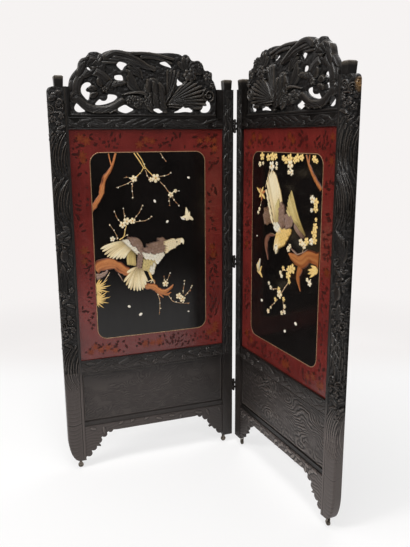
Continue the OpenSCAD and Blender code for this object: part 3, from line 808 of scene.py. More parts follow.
@dataclass
class Relief:
    """A carved surface as a grid of heights. Each motif is laid over what is there."""

    x0: float
    x1: float
    z0: float
    z1: float
    step: float = 1.7

    def __post_init__(self) -> None:
        """Set out the grid."""
        self.xs = np.linspace(self.x0, self.x1, round((self.x1 - self.x0) / self.step) + 1)
        self.zs = np.linspace(self.z0, self.z1, round((self.z1 - self.z0) / self.step) + 1)
        self.height = np.zeros((len(self.zs), len(self.xs)))
        self.depth = 1.0

    def window(self, lo: Array, hi: Array) -> tuple[tuple[slice, slice], Array, Array]:
        """Return the part of the grid inside the corners, and its coordinates.

        Args:
            lo: the lower left corner.
            hi: the upper right corner.

        Returns:
            The rows and columns, and the two coordinates of their points.
        """
        c = slice(*np.searchsorted(self.xs, [lo[0], hi[0]]))
        r = slice(*np.searchsorted(self.zs, [lo[1], hi[1]]))
        x, z = np.meshgrid(self.xs[c], self.zs[r])
        return (r, c), x, z

    def lay(self, part: tuple[slice, slice], outside: Array, form: Array, cut: float = 0.8,
            reach: float = 2.2) -> None:
        """Lay a form over the carving, with a cut round it.

        Args:
            part: the rows and columns that the form touches.
            outside: the distance outside the form's edge, negative within.
            form: the form's height.
            cut: the depth of the cut round it.
            reach: the width of that cut.
        """
        under = self.height[part]
        under = under - cut * np.clip(1 - np.maximum(outside, 0) / reach, 0, 1)
        share = np.clip(0.5 - outside / self.step, 0, 1)
        self.height[part] = share * form + (1 - share) * under

    def along(self, path: Array, reach: float) -> tuple[tuple[slice, slice], Array, Array, Array,
                                                         float]:
        """Return the window round a path, with place, offset and distance, and the length.

        Args:
            path: an (n, 2) array.
            reach: how far the window reaches past it.

        Returns:
            The rows and columns, the share of the way, the offset to the left and the distance
            at their points, and the path's length.
        """
        part, x, z = self.window(path.min(axis=0) - reach, path.max(axis=0) + reach)
        t, v, d = nearest(path, x, z)
        return part, t, v, d, float(np.hypot(*np.diff(path, axis=0).T).sum())

    def ridge(self, path: Array, w0: float, w1: float, base: float, high: float,
              cut: float = 0.6) -> None:
        """Lay a round ridge whose width runs from w0 to w1.

        Args:
            path: the line of its crest.
            w0: its width where it starts.
            w1: its width where it ends.
            base: the height of its edges.
            high: how much higher its crest is.
            cut: the depth of the cut round it.
        """
        part, t, _, d, _ = self.along(path, max(w0, w1) + 3)
        half = np.maximum((w0 + (w1 - w0) * t) / 2, 0.4)
        form = base + high * np.sqrt(np.clip(1 - (d / half) ** 2, 0, 1))
        self.lay(part, d - half, form, cut)

    def band(self, path: Array, w0: float, w1: float, base: float, high: float,
             lines: int = 4, cut: float = 1.0) -> None:
        """Lay a broad smooth band from w0 to w1 wide, with fine lines cut along it.

        Args:
            path: its middle line.
            w0: its width where it starts.
            w1: its width where it ends.
            base: the height of its edges.
            high: how much higher its middle is.
            lines: how many strips the fine lines part it into.
            cut: the depth of the cut round it.
        """
        part, t, v, d, _ = self.along(path, max(w0, w1) / 2 + 4)
        half = (w0 + (w1 - w0) * t) / 2
        u = np.clip(v / half, -1, 1)
        form = base + high * np.sqrt(1 - 0.97 * u ** 2)
        near = np.abs(np.mod((u + 1) / 2 * lines + 0.5, 1) - 0.5)
        form -= np.where(np.abs(u) < 0.93, 0.34 * np.exp(-(near * 2 * half / lines / 1.5) ** 2), 0)
        self.lay(part, d - half, form, cut)

    def blade(self, path: Array, width: float, base: float, high: float, vein: float = 6.0,
              tip: float = 0.8, root: float = 0.35, tilt: float = 0.3) -> None:
        """Lay a feather or a leaf along a path, with a shaft and slanting barbs.

        Args:
            path: its shaft, from the root.
            width: its full width.
            base: the height of its edge.
            high: how far it crowns above its edge.
            vein: the spacing of its barbs.
            tip: where its round tip starts, from 0 to 1.
            root: its width at the root, as a share.
            tilt: how far one edge is lifted over the next feather.
        """
        part, t, v, d, length = self.along(path, width / 2 + 4)
        swell = root + (1 - root) * np.sin(np.clip(t / tip, 0, 1) * np.pi / 2)
        close = np.sqrt(np.clip(1 - (np.clip(t - tip, 0, 1) / (1.001 - tip)) ** 2, 0, 1))
        half = np.maximum(width / 2 * swell * close, 0.3)
        u = np.clip(v / half, -1, 1)
        form = base + high * (1 - u ** 2) ** 0.7 + tilt * u
        form -= 0.5 * np.exp(-(v / 0.9) ** 2)
        form += 0.28 * np.sin(2 * np.pi * (t * length - 1.1 * np.abs(v)) / vein)
        self.lay(part, d - half, form, 0.9)

    def fan(self, at: Point, angles: list[float], length: float, width: float,
            base: float, high: float = 1.3, bend: float = 0.0, grow: float = 0.0) -> None:
        """Lay feathers that spread from one place, each over the one before.

        Args:
            at: where they meet.
            angles: the way of each, in degrees.
            length: the first one's length.
            width: the width of each.
            base: the height of the first one's edge.
            high: how far each crowns above its edge.
            bend: how far each turns on its way, in degrees.
            grow: how much longer each is than the one before.
        """
        for i, angle in enumerate(angles):
            path = swept(at, angle, length + grow * i, bend)
            self.blade(path, width, base + 0.12 * i, high, tip=0.86)

    def leaf(self, at: Point, angle: float, length: float, width: float, base: float,
             bend: float = 25.0) -> None:
        """Lay one leaf with a middle rib and veins."""
        self.blade(swept(at, angle, length, bend), width, base, 1.5, 5.5, 0.45, 0.12, 0.5)

    def dome(self, x: float, z: float, rx: float, rz: float, base: float, high: float,
             angle: float = 0.0) -> None:
        """Lay a rounded oval.

        Args:
            x: its middle.
            z: its middle.
            rx: its half length.
            rz: its half width.
            base: the height of its edge.
            high: how much higher its middle is.
            angle: how far it is turned, in degrees.
        """
        r = max(rx, rz) + 4
        part, gx, gz = self.window(np.array([x - r, z - r]), np.array([x + r, z + r]))
        a = math.radians(angle)
        u = ((gx - x) * math.cos(a) + (gz - z) * math.sin(a)) / rx
        w = ((gz - z) * math.cos(a) - (gx - x) * math.sin(a)) / rz
        q = np.hypot(u, w)
        self.lay(part, (q - 1) * min(rx, rz), base + high * np.sqrt(np.clip(1 - q ** 2, 0, 1)), 0.7)

    def scaled(self, x: float, z: float, rx: float, rz: float, base: float, high: float,
               pitch: float = 7.0) -> None:
        """Lay a rounded body covered in small overlapping feathers.

        Args:
            x: its middle.
            z: its middle.
            rx: its half width.
            rz: its half height.
            base: the height of its edge.
            high: how much higher its middle is.
            pitch: the size of a small feather.
        """
        self.dome(x, z, rx, rz, base, high)
        part, gx, gz = self.window(np.array([x - rx, z - rz]), np.array([x + rx, z + rz]))
        q = np.hypot((gx - x) / rx, (gz - z) / rz)
        row = np.floor((gz - z) / pitch)
        along = (gx - x) / pitch + 0.5 * np.mod(row, 2)
        across = np.mod(along, 1) - 0.5
        down = np.mod((gz - z) / pitch, 1)
        edge = np.hypot(across * 1.15, down - 0.15)
        self.height[part] += np.where(q < 0.93, 1.1 * np.clip(0.85 - edge, -0.35, 0.5), 0)

    def blossom(self, x: float, z: float, r: float, base: float, turn: float = 0.0) -> None:
        """Lay a flower of five petals round a button.

        Args:
            x: its middle.
            z: its middle.
            r: its radius.
            base: the height of its petals' edges.
            turn: how far it is turned, in degrees.
        """
        for k in range(5):
            a = math.radians(72 * k + turn)
            px, pz = x + 0.56 * r * math.cos(a), z + 0.56 * r * math.sin(a)
            self.dome(px, pz, 0.5 * r, 0.42 * r, base, 0.16 * r, math.degrees(a))
        self.dome(x, z, 0.22 * r, 0.22 * r, base + 0.6, 0.12 * r)

    def scroll(self, x: float, z: float, r: float, base: float, turns: float = 1.6,
               start: float = 0.0, hand: int = 1, width: float = 0.0) -> None:
        """Lay a cloud scroll: a ridge that winds inwards.

        Args:
            x: its middle.
            z: its middle.
            r: its radius.
            base: the height of its edges.
            turns: how often it winds.
            start: the way to its outer end, in degrees.
            hand: 1 or -1, the way that it winds.
            width: its width outside, or 0 for a third of its radius.
        """
        n = int(14 * turns) + 2
        share = np.linspace(0, 1, n)
        a = np.radians(start) + hand * 2 * np.pi * turns * share
        radius = r * (1 - 0.82 * share)
        path = np.stack([x + radius * np.cos(a), z + radius * np.sin(a)], axis=1)
        w = width or r * 0.34
        self.ridge(path, w, w * 0.55, base, w * 0.22)
        self.dome(x, z, r * 0.17, r * 0.17, base + 0.4, 1.0)

    def ground(self, depth: float, size: float, seed: int) -> None:
        """Roughen the ground with the marks of a punch and a gouge.

        Args:
            depth: how deep the marks are.
            size: how far apart they are.
            seed: the seed of the marks.
        """
        shape = self.height.shape
        cells = ((self.z1 - self.z0) / size, (self.x1 - self.x0) / size)
        self.height += depth * random_field(shape, cells, seed)
        self.height += 0.4 * depth * random_field(shape, (cells[0] * 2.3, cells[1] * 2.3), seed + 1)

    def deepen(self, share: float) -> None:
        """Make the whole carving deeper by a share."""
        self.height *= share
        self.depth *= share

    def limit(self, top: float) -> None:
        """Ease the highest places down to a limit, so that the closed leaves clear each other."""
        over = (self.height - top + 1.5) / 1.5
        self.height = np.where(over > 0, top - 1.5 + 1.5 * np.tanh(over), self.height)

    def rise(self) -> Array:
        """Return how far each point stands above what is round it, from 0 to 1.

        Returns:
            An array of rows by columns.
        """
        n = max(2, round(7 / self.step))
        soft = self.height
        for axis in (0, 1):
            pad = [(n, n) if a == axis else (0, 0) for a in (0, 1)]
            sums = np.cumsum(np.pad(soft, pad, mode="edge"), axis=axis)
            size = soft.shape[axis]
            high = np.take(sums, range(2 * n, 2 * n + size), axis=axis)
            low = np.take(sums, range(0, size), axis=axis)
            soft = (high - low) / (2 * n)
        spread = (self.height - soft) / (2.4 * self.depth)
        return np.clip(0.5 + spread + 0.05 * np.tanh(self.height / self.depth - 1.5), 0, 1)


@dataclass
class Outline:
    """The outline that a solid shows on a plane behind the carved face."""

    segments: Array

    @classmethod
    def of_node(cls, node: bpy.types.Object, place: LeafPlace, y: float) -> Outline:
        """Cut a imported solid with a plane.

        Args:
            node: the solid's object.
            place: the leaf that it belongs to.
            y: the plane's distance behind the carved face.

        Returns:
            The outline, as short straight segments.
        """
        mesh = node.data
        mesh.calc_loop_triangles()
        points = np.empty(len(mesh.vertices) * 3, np.float32)
        mesh.vertices.foreach_get("co", points)
        corners = np.empty(len(mesh.loop_triangles) * 3, np.int32)
        mesh.loop_triangles.foreach_get("vertices", corners)
        local = place.to_leaf(points.reshape(-1, 3).astype(float))
        tri = local[corners.reshape(-1, 3)]
        above = tri[:, :, 1] > y
        tri = tri[above.any(axis=1) & ~above.all(axis=1)]
        found = []
        for t in tri:
            ends = []
            for a, b in ((t[0], t[1]), (t[1], t[2]), (t[2], t[0])):
                if (a[1] > y) != (b[1] > y):
                    ends.append((a + (b - a) * (y - a[1]) / (b[1] - a[1]))[[0, 2]])
            found.append(ends)
        return cls(np.asarray(found))

    def outside(self, xs: Array, zs: Array, reach: float = OUTLINE_REACH) -> Array:
        """Return each grid point's distance outside the outline, negative within.

        Args:
            xs: the grid's columns.
            zs: the grid's rows.
            reach: distances are cut off at this value.

        Returns:
            An array of rows by columns.
        """
        a, b = self.segments[:, 0], self.segments[:, 1]
        inside = np.zeros((len(zs), len(xs)), bool)
        for row, z in enumerate(zs + 1e-4):
            hit = (a[:, 1] > z) != (b[:, 1] > z)
            p, q = a[hit], b[hit]
            cross = np.sort(p[:, 0] + (q[:, 0] - p[:, 0]) * (z - p[:, 1]) / (q[:, 1] - p[:, 1]))
            inside[row] = np.searchsorted(cross, xs) % 2 == 1
        gap = np.full(inside.shape, reach)
        for p, q in self.segments:
            lo, hi = np.minimum(p, q) - reach, np.maximum(p, q) + reach
            c = slice(*np.searchsorted(xs, [lo[0], hi[0]]))
            r = slice(*np.searchsorted(zs, [lo[1], hi[1]]))
            x, z = np.meshgrid(xs[c], zs[r])
            gap[r, c] = np.minimum(gap[r, c], nearest(np.array([p, q]), x, z)[2])
        return np.where(inside, -gap, gap)


@dataclass
class Plate:
    """A board carved in relief: its front, its sides and a plain or carved back."""

    front: Relief
    face: float
    back: float
    round_r: float = 3.0
    back_share: float = 0.0

    def solid(self, outline: Outline | None = None) -> Solid:
        """Return the plate as a closed mesh.

        Args:
            outline: where the board ends and its openings lie, or None for a full rectangle.

        Returns:
            The solid, on the leaf's axes.
        """
        r = self.front
        x, z = np.meshgrid(r.xs, r.zs)
        if outline is None:
            edge = np.minimum.reduce([x - r.x0, r.x1 - x, z - r.z0, r.z1 - z])
            gap = -np.minimum(edge, OUTLINE_REACH)
        else:
            gap = outline.outside(r.xs, r.zs)
            near = np.abs(gap) < 0.62 * r.step
            gz, gx = np.gradient(gap, r.zs, r.xs)
            size = np.maximum(np.hypot(gx, gz), 0.3)
            x = np.where(near, x - gap * gx / size ** 2, x)
            z = np.where(near, z - gap * gz / size ** 2, z)
            gap = np.where(near, 0, gap)
        fall = np.clip(1 + gap / self.round_r, 0, 1)
        fall = self.round_r * (1 - np.sqrt(1 - fall ** 2 * 0.96))
        front = self.face - r.height + fall * 0.8
        back = self.back + self.back_share * r.height - fall * 0.8 * (self.back_share > 0)
        back = np.maximum(back, front + 1.0)
        index = np.arange(x.size).reshape(x.shape)
        quads = np.stack([index[:-1, :-1], index[:-1, 1:], index[1:, 1:], index[1:, :-1]],
                         axis=-1).reshape(-1, 4)
        kept = (gap.ravel() <= 1e-6)[quads]
        whole = quads[kept.all(axis=1)]
        three = quads[kept.sum(axis=1) == 3]
        which = kept[kept.sum(axis=1) == 3]
        tris = np.array([q[w] for q, w in zip(three, which)], int).reshape(-1, 3)
        used = np.unique(np.concatenate([whole.ravel(), tris.ravel()]))
        number = np.full(x.size, -1)
        number[used] = np.arange(len(used))
        whole, tris = number[whole], number[tris]
        n = len(used)
        fx, fz = x.ravel()[used], z.ravel()[used]
        points = np.concatenate([np.stack([fx, front.ravel()[used], fz], axis=1),
                                 np.stack([fx, back.ravel()[used], fz], axis=1)])
        walls = self.walls(whole, tris, n)
        rise = r.rise().ravel()[used]
        out = Solid()
        plain = rise * self.back_share + PLAIN_RISE * (1 - self.back_share)
        out.add(points, [whole, tris, whole[:, ::-1] + n, tris[:, ::-1] + n, walls],
                np.concatenate([rise, plain]))
        return out

    @staticmethod
    def walls(quads: Array, tris: Array, n: int) -> Array:
        """Return the faces between the rim of the front and the rim of the back.

        Args:
            quads: the front's faces of four corners.
            tris: its faces of three corners.
            n: how many points the front has.

        Returns:
            The faces of the walls.
        """
        edges = [quads[:, [i, (i + 1) % 4]] for i in range(4)]
        edges += [tris[:, [i, (i + 1) % 3]] for i in range(3)]
        all_edges = np.concatenate(edges)
        forward = all_edges[:, 0] * (4 * n) + all_edges[:, 1]
        backward = all_edges[:, 1] * (4 * n) + all_edges[:, 0]
        a, b = all_edges[~np.isin(forward, backward)].T
        return np.stack([a, a + n, b + n, b], axis=1)


@dataclass
class Carcass:
    """One leaf's carved frame: posts, rails, apron and lower panel."""

    place: LeafPlace
    frame: dict
    step: float = 1.7
    post_step: float = 1.5
    panel_step: float = 2.0

    def node(self, name: str) -> bpy.types.Object:
        """Return this leaf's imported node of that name."""
        return self.frame["nodes"][f"{self.place.side.word}_{name}"]

    def finish_piece(self, solid: Solid, name: str, finish: Finish, *replaced: str,
                     smooth_angle: float = 50.0) -> None:
        """Build a solid, let it ride on its leaf and stand for the nodes it replaces.

        Args:
            solid: its mesh.
            name: its name after the leaf's word.
            finish: its material.
            replaced: the nodes that it stands for.
            smooth_angle: edges sharper than this stay sharp.
        """
        word = self.place.side.word
        piece = solid.build(f"{word}_{name}", self.place, finish, smooth_angle)
        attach(piece, f"{word}_leaf")
        if replaced:
            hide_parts(*[f"{word}_{n}" for n in replaced])
        LOG.info("%s_%s: %d points", word, name, solid.count)

    def outer_post_relief(self) -> Relief:
        """Carve the post's front and outer side: dense motifs above, wave lines below.

        Returns:
            The relief, with the side following the front.
        """
        s = SIZES
        across = s.outer_post_w + s.leaf_t
        r = Relief(0, across, s.foot_z, s.post_top, self.post_step)
        seed = self.place.pick(11, 29)
        band = s.post_band
        x, z = np.meshgrid(r.xs, r.zs)
        # Below the band: faint wave lines that sag across the post
        sag = 13 * np.sin((x - 8) / s.outer_post_w * np.pi)
        pitch = 18.0
        lines = np.mod((z + sag + 6 * random_field(r.height.shape, (24, 2), seed)) / pitch, 1)
        strong = np.clip(0.4 + 0.7 * random_field(r.height.shape, (9, 2), seed + 2), 0.05, 1)
        low = strong * (-1.1 * np.exp(-((lines - 0.5) * pitch / 1.8) ** 2) + 0.8 * (lines - 0.5))
        for at, sway in ((band, 4), (205.0, 9)):
            curve = z - at + sway * np.sin((x - 8) / s.outer_post_w * np.pi)
            low -= 1.5 * np.exp(-(curve / 1.8) ** 2)
        r.height = low * np.where(x > s.outer_post_w + 2, 0.15, 0.5)
        # Above it: ground cut down, then the motifs
        carved = z > band + 3
        ground = Relief(0, across, s.foot_z, s.post_top, self.post_step)
        ground.height -= 1.6
        ground.ground(0.9, 7, seed)
        r.height = np.where(carved, ground.height, r.height)
        blossoms, leaves, scrolls, plumes, streams, bark, bird, rocks = Motif
        kinds = self.place.pick(
            [rocks, scrolls, blossoms, leaves, streams, streams, rocks, leaves, bird, plumes,
             blossoms, leaves],
            [scrolls, blossoms, leaves, streams, streams, plumes, scrolls, leaves, bird,
             scrolls, blossoms, bark])
        self.motifs(r, np.random.default_rng(seed), kinds, 12, across - 6, band + 22,
                    s.post_top - 8)
        # The plain strip along the opening, and the line beside it
        strip = np.clip((x - 9) / 1.2, 0, 1)
        r.height = np.where(x < 11, (1 - strip) * 0.4 + strip * -1.6, r.height)
        upper = z > band
        deep = self.place.pick(1.5, 1.9)
        r.height = np.where(upper & (x > 11), r.height * deep - 0.8, r.height)
        r.limit(RELIEF_LIMIT)
        r.depth = np.where(upper, deep, 1.0)
        return r

    @staticmethod
    def motifs(r: Relief, rng: np.random.Generator, kinds: list[Motif], x0: float,
               x1: float, z0: float, z1: float) -> None:
        """Fill a tall strip with leaves, plumes, scrolls, birds and blossoms.

        Args:
            r: the relief to carve.
            rng: the seeded source of the small differences between motifs.
            kinds: the motifs in order, from the top down.
            x0: the strip's near edge.
            x1: the strip's far edge.
            z0: the strip's lower end.
            z1: the strip's upper end.
        """
        w = x1 - x0
        mid = x0 + w * 0.42
        z = z1 - 16
        for i, kind in enumerate(cycle(kinds)):
            if z <= z0:
                return
            flip = 1 if (i // 2) % 2 else -1
            j = rng.uniform(-1, 1, 12)
            if kind is Motif.BLOSSOMS:
                for k, (dx, dz, size) in enumerate([(-24, 0, 12), (8, -12, 14), (36, 2, 12),
                                                    (-12, -26, 10), (30, -30, 13)]):
                    r.blossom(mid + dx + 2 * j[k], z + dz + 2 * j[k + 5], size, 0.3, 40 * j[k])
            elif kind is Motif.LEAVES:
                for k in range(6):
                    a = 250 + flip * (46 * k - 110) + 12 * j[k]
                    r.leaf((mid + 10 * flip + 14 * j[k + 4], z - 12 - 5 * k), a, 40 + 5 * j[k],
                           15, 0.1 + 0.15 * k, 30 * flip)
            elif kind is Motif.SCROLLS:
                r.scroll(mid - 18, z - 10, 17, 0.2, 1.7, 200 + 60 * j[0], flip)
                r.scroll(mid + 18, z - 24, 20, 0.4, 1.9, 20 + 60 * j[1], -flip)
                r.scroll(mid + 48, z - 4, 15, 0.2, 1.5, 90, flip)
                r.ridge(swept((mid - 26, z - 34), 10, 60, 30 * flip), 8, 3, 0.1, 1.5)
            elif kind is Motif.PLUMES:
                for k in range(6):
                    start = (mid + flip * (30 - 11 * k), z + 12 - 6 * k)
                    r.blade(swept(start, 270 - flip * (34 - 5 * k), 118 - 4 * k, flip * 46, 14),
                            13, 0.15 + 0.16 * k, 1.6, 6.5, 0.82, 0.3)
            elif kind is Motif.STREAMS:
                arc = ((0.4, 6), (0.12, -34), (-0.02, -84), (0.02, -134), (0.3, -184))
                for k in range(9):
                    path = smooth_path([(mid + flip * w * (0.12 * k - 0.52 + dx),
                                         z + 10 + dz - 12 * j[k]) for dx, dz in arc], 9)
                    r.ridge(path, 7.5, 2.2, -1.4 + 0.3 * (k % 3), 2.3, 0.6)
            elif kind is Motif.BARK:
                for k in range(16):
                    x, top = x0 + w * (0.06 + 0.88 * (k * 0.382 % 1)), z + 12 - 9 * k
                    r.ridge(swept((x, top), 270 + 7 * j[k % 12], 58 + 12 * j[-k % 12], 8 * j[3]),
                            8, 3, -0.8 + 0.3 * (k % 4), 1.2, 0.8)
                for k in range(3):
                    r.ridge(swept((mid - flip * 30, z - 40 * k), 270 + flip * 52, 76, -8 * flip),
                            5, 2, 0.5, 1.0, 0.9)
            elif kind is Motif.BIRD:
                fan = [250 + flip * (12 * k - 24) for k in range(6)]
                r.fan((mid + 16 * flip, z - 14), fan, 62, 12, 0.1, 1.4, 26 * flip, 4)
                r.fan((mid - 4 * flip, z - 60), [262 + flip * (9 * k - 18) for k in range(5)],
                      54, 11, 0.4, 1.4, -18 * flip, 3)
                r.scaled(mid + 6 * flip, z - 26, 17, 27, 0.8, 2.4)
                r.dome(mid + 10 * flip, z + 2, 9, 10, 1.2, 2.0)
                r.ridge(swept((mid + 14 * flip, z + 3), 90 - 70 * flip, 12, 40), 5, 1, 1.2, 1.0)
            else:
                for k in range(5):
                    r.dome(mid + 24 * j[k], z - 10 * k, 15 + 3 * j[k + 3], 11, 0.1 + 0.1 * k,
                           2.0, 30 * j[k + 5])
                    r.ridge(swept((mid + 24 * j[k] - 8, z - 10 * k), 10 + 20 * j[k], 18, 40),
                            3, 1, 1.4 + 0.1 * k, 0.7, 0.3)
            z -= kind.value

    def outer_post(self) -> None:
        """Build the outer post: carved front and side round a soft arris, plain back."""
        s = SIZES
        r = self.outer_post_relief()
        rows = r.zs
        t_top = np.clip((rows - (s.post_top - s.top_corner_r)) / s.top_corner_r, 0, 1)
        t_low = np.clip((s.foot_z + s.foot_sweep_h - rows) / s.foot_sweep_h, 0, 1)
        width = (s.outer_post_w - s.top_corner_r * (1 - np.sqrt(1 - t_top ** 2))
                 - s.foot_sweep_w * (1 - np.sqrt(1 - t_low ** 2)))
        arris = 7.0
        back_r = 2.0
        front = np.arange(0, s.outer_post_w - arris, self.post_step)
        bend = np.radians(np.linspace(0, 90, 7))
        side = np.arange(arris, s.leaf_t - back_r, self.post_step)[1:]
        columns: list[tuple[Array, Array, Array, Array, Array]] = []
        one = np.ones_like(rows)

        def column(x: Array, y: Array, nx: float, ny: float, across: Array | None) -> None:
            """Add a column of points that the relief lifts along nx, ny, or a plain one.

            Args:
                x: the column's places outwards.
                y: its places backwards.
                nx: how much of the relief goes outwards.
                ny: how much of it goes backwards.
                across: its places on the relief, or None for a plain column.
            """
            if across is None:
                columns.append((x, y, 0 * one, 0 * one, one * PLAIN_RISE))
                return
            at = np.clip((across - r.x0) / (r.xs[1] - r.xs[0]), 0, len(r.xs) - 1.001)
            i = np.floor(at).astype(int)
            f = at - i
            k = np.arange(len(rows))
            h = r.height[k, i] * (1 - f) + r.height[k, i + 1] * f
            v = rise[k, i] * (1 - f) + rise[k, i + 1] * f
            columns.append((x, y, nx * h, ny * h, v))

        rise = r.rise()
        for f in front / (s.outer_post_w - arris):
            x = f * (width - arris)
            column(s.opening_end + x, 0 * one, 0, -1, x)
        for b in bend:
            x = width - arris + arris * math.sin(b)
            y = arris * (1 - math.cos(b)) * one
            column(s.opening_end + x, y, math.sin(b), -math.cos(b), width - arris + b * arris)
        for y in side:
            column(s.opening_end + width, y * one, 1, 0, width + y)
        column(s.opening_end + width, (s.leaf_t - back_r) * one, 1, 0, None)
        column(s.opening_end + width - back_r, s.leaf_t * one, 0, 1, None)
        column(s.opening_end + 1 + 0 * width, s.leaf_t * one, 0, 1, None)
        column(s.opening_end + 0 * width, (s.leaf_t - 1) * one, 0, 1, None)
        data = np.array(columns)
        x = data[:, 0] + data[:, 2]
        y = data[:, 1] + data[:, 3]
        x[0] = s.opening_end
        z = np.broadcast_to(rows, x.shape)
        n_col, n_row = x.shape
        points = np.stack([x, y, z], axis=-1).transpose(1, 0, 2).reshape(-1, 3)
        index = np.arange(n_row * n_col).reshape(n_row, n_col)
        out = Solid()
        out.add(points, [tube_faces(index)], data[:, 4].T.reshape(-1))
        for loop, up in ((index[-1], True), (index[0], False)):
            out.add(*self.cap(points, loop, up), 0.45)
        self.finish_piece(out, "outer_post_carved", CARVED_EBONY, "outer_post", smooth_angle=62)

    @staticmethod
    def cap(points: Array, loop: Array, up: bool) -> tuple[Array, list[Array]]:
        """Return a flat end on a loop, with its own points so that its edge stays crisp.

        Args:
            points: all points.
            loop: the numbers of the loop's points.
            up: whether the end faces up.

        Returns:
            The end's points and its faces.
        """
        ring = points[loop]
        n = len(ring)
        i = np.arange(n)
        tris = np.stack([i, (i + 1) % n, np.full(n, n)], axis=1)
        return np.concatenate([ring, [ring.mean(axis=0)]]), [tris if up else tris[:, ::-1]]

    def skin(self, relief: Relief, name: str, face: float, finish: Finish = CARVED_EBONY,
             sunk: float = 0.5, round_r: float = 1.6) -> None:
        """Build a carved face that is let into the solid behind it."""
        plate = Plate(relief, face, face + sunk, round_r)
        self.finish_piece(plate.solid(), name, finish)

    def hinge_post(self) -> None:
        """Carve the hinge post's face with long leaves, and leave its foot plain."""
        s = SIZES
        seed = self.place.pick(5, 17)
        rng = np.random.default_rng(seed)
        low = 432
        r = Relief(3, s.hinge_post_w - 1.5, low, s.post_top - 3, self.step)
        r.height += 0.3
        r.ground(0.35, 8, seed)
        z = s.post_top - 20
        turn = 1
        while z > low + 38:
            j = rng.uniform(-1, 1, 4)
            middle = (r.x0 + r.x1) / 2
            for k in range(3):
                r.blade(swept((middle + turn * (13 - 9 * k), z - 10 * k),
                              270 - turn * (26 + 8 * j[k]), 66 - 6 * k, turn * 44, 10),
                        10, 0.6 + 0.15 * k, 1.2, 7, 0.6, 0.15)
            if j[3] > 0.2:
                r.blossom(middle - turn * 11, z - 8, 9, 0.7, 50 * j[0])
            elif j[3] < -0.45:
                r.scroll(middle - turn * 9, z - 6, 10, 0.7, 1.4, 90 * turn, turn)
            z -= 42 + 5 * j[1]
            turn = -turn
        r.deepen(1.7)
        self.skin(r, "hinge_post_carving", 0.0)

    def rail(self, name: str, low: float, high: float, seed: int) -> None:
        """Carve a rail between its beads, from its lower edge to its upper edge.

        Args:
            name: the rail's node.
            low: its lower edge.
            high: its upper edge.
            seed: the seed of its leaves.
        """
        s = SIZES
        r = Relief(s.hinge_post_w, s.opening_end, low + 4, high - 4, self.step)
        self.rail_leaves(r, seed)
        self.skin(r, f"{name}_carving", s.rail_face)

    @staticmethod
    def rail_leaves(r: Relief, seed: int) -> None:
        """Run leaves, scrolls and blossoms along a rail.

        Args:
            r: the relief to carve.
            seed: the seed of the leaves.
        """
        rng = np.random.default_rng(seed)
        r.ground(0.3, 7, seed)
        r.height -= 0.7
        tall = r.z1 - r.z0
        x = r.x0 + 16
        turn = 1
        while x < r.x1 + 10:
            j = rng.uniform(-1, 1, 6)
            middle = (r.z0 + r.z1) / 2
            for k in range(3):
                lean = turn * tall * (0.42 - 0.1 * k)
                r.band(smooth_path([(x - 34 + 9 * k, middle - lean),
                                    (x - 10 + 9 * k, middle - 0.5 * lean + 3 * j[k]),
                                    (x + 8 + 10 * k, middle + 0.45 * lean),
                                    (x + 34 + 10 * k, middle + lean + 3 * j[k + 1])], 7),
                       tall * 0.36, tall * 0.2, 0.1 + 0.2 * k, 1.3, 3, 0.5)
            if j[3] > 0.5:
                r.blossom(x + 20, middle - turn * tall * 0.2, tall * 0.24, 0.7, 50 * j[0])
            elif j[3] < -0.1:
                r.leaf((x + 6, middle - turn * tall * 0.3), turn * (20 + 20 * j[5]), tall * 0.8,
                       tall * 0.3, 0.7, -turn * 30)
            x += 40 + 8 * j[4]
            turn = -turn if j[5] > -0.4 else turn
        r.deepen(1.8)
        r.depth = 2.6
        r.height[np.minimum(r.zs - r.z0, r.z1 - r.zs) < 1.4] = -0.2

    def lower_panel(self) -> None:
        """Carve the lower panel in low relief: flowing water round a few eddies."""
        s = SIZES
        pick = self.place.pick
        seed = pick(61, 67)
        r = Relief(s.hinge_post_w, s.opening_end, s.ledge_z, s.mid_rail_z, self.panel_step)
        x, z = np.meshgrid(r.xs, r.zs)
        warp = random_field(r.height.shape, (2.6, 5.5), seed)
        warp += 0.4 * random_field(r.height.shape, (6, 13), seed + 3)
        flow = z + 34 * warp + 0.2 * (x - 370)
        for cx, cz, size, hand in ((150, 335, 62, 1), (290, 262, 54, -1), (430, 350, 58, 1),
                                   (560, 272, 60, -1), (650, 372, 40, 1)):
            d = np.hypot(x - cx, (z - cz) * 1.25)
            flow = flow + hand * 44 * np.exp(-(d / size) ** 2)
        flow = flow + 9 * random_field(r.height.shape, (9, 22), seed + 5)
        wave = np.abs(np.sin(np.pi * (flow + 3 * random_field(r.height.shape, (30, 60), seed))
                             / pick(10.5, 15.5)))
        patch = random_field(r.height.shape, pick((9, 20), (4, 8)), seed + 9)
        broken = random_field(r.height.shape, (22, 34), seed + 11)
        strong = pick(0.8, 2.9) * np.clip(0.5 + 0.8 * patch + 0.35 * broken, 0.05, 1.3)
        r.height = strong * wave ** 0.6 + 0.5 * warp
        r.depth = pick(0.8, 1.0)
        edge = np.minimum.reduce([x - r.x0, r.x1 - x, z - r.z0, r.z1 - z])
        r.height = np.where(edge < 7, 0.2 + 1.2 * (edge > 5.2), r.height)
        # A low strip along the foot, under a rounded bead: the colour by rise paints it black, a
        # painted shadow line where the panel meets the ledge, and the bead pale, a painted
        # highlight
        r.height = np.where(z - r.z0 < 10, 0.1, r.height)
        bead = np.abs(z - r.z0 - 7) / 3
        high = pick(0.5, 1.7) * np.sqrt(1 - np.minimum(bead, 1) ** 2)
        r.height = np.where(bead < 1, 0.1 + high, r.height)
        self.skin(r, "lower_panel_carving", s.lower_face, PANEL_EBONY, 0.4, 1.0)

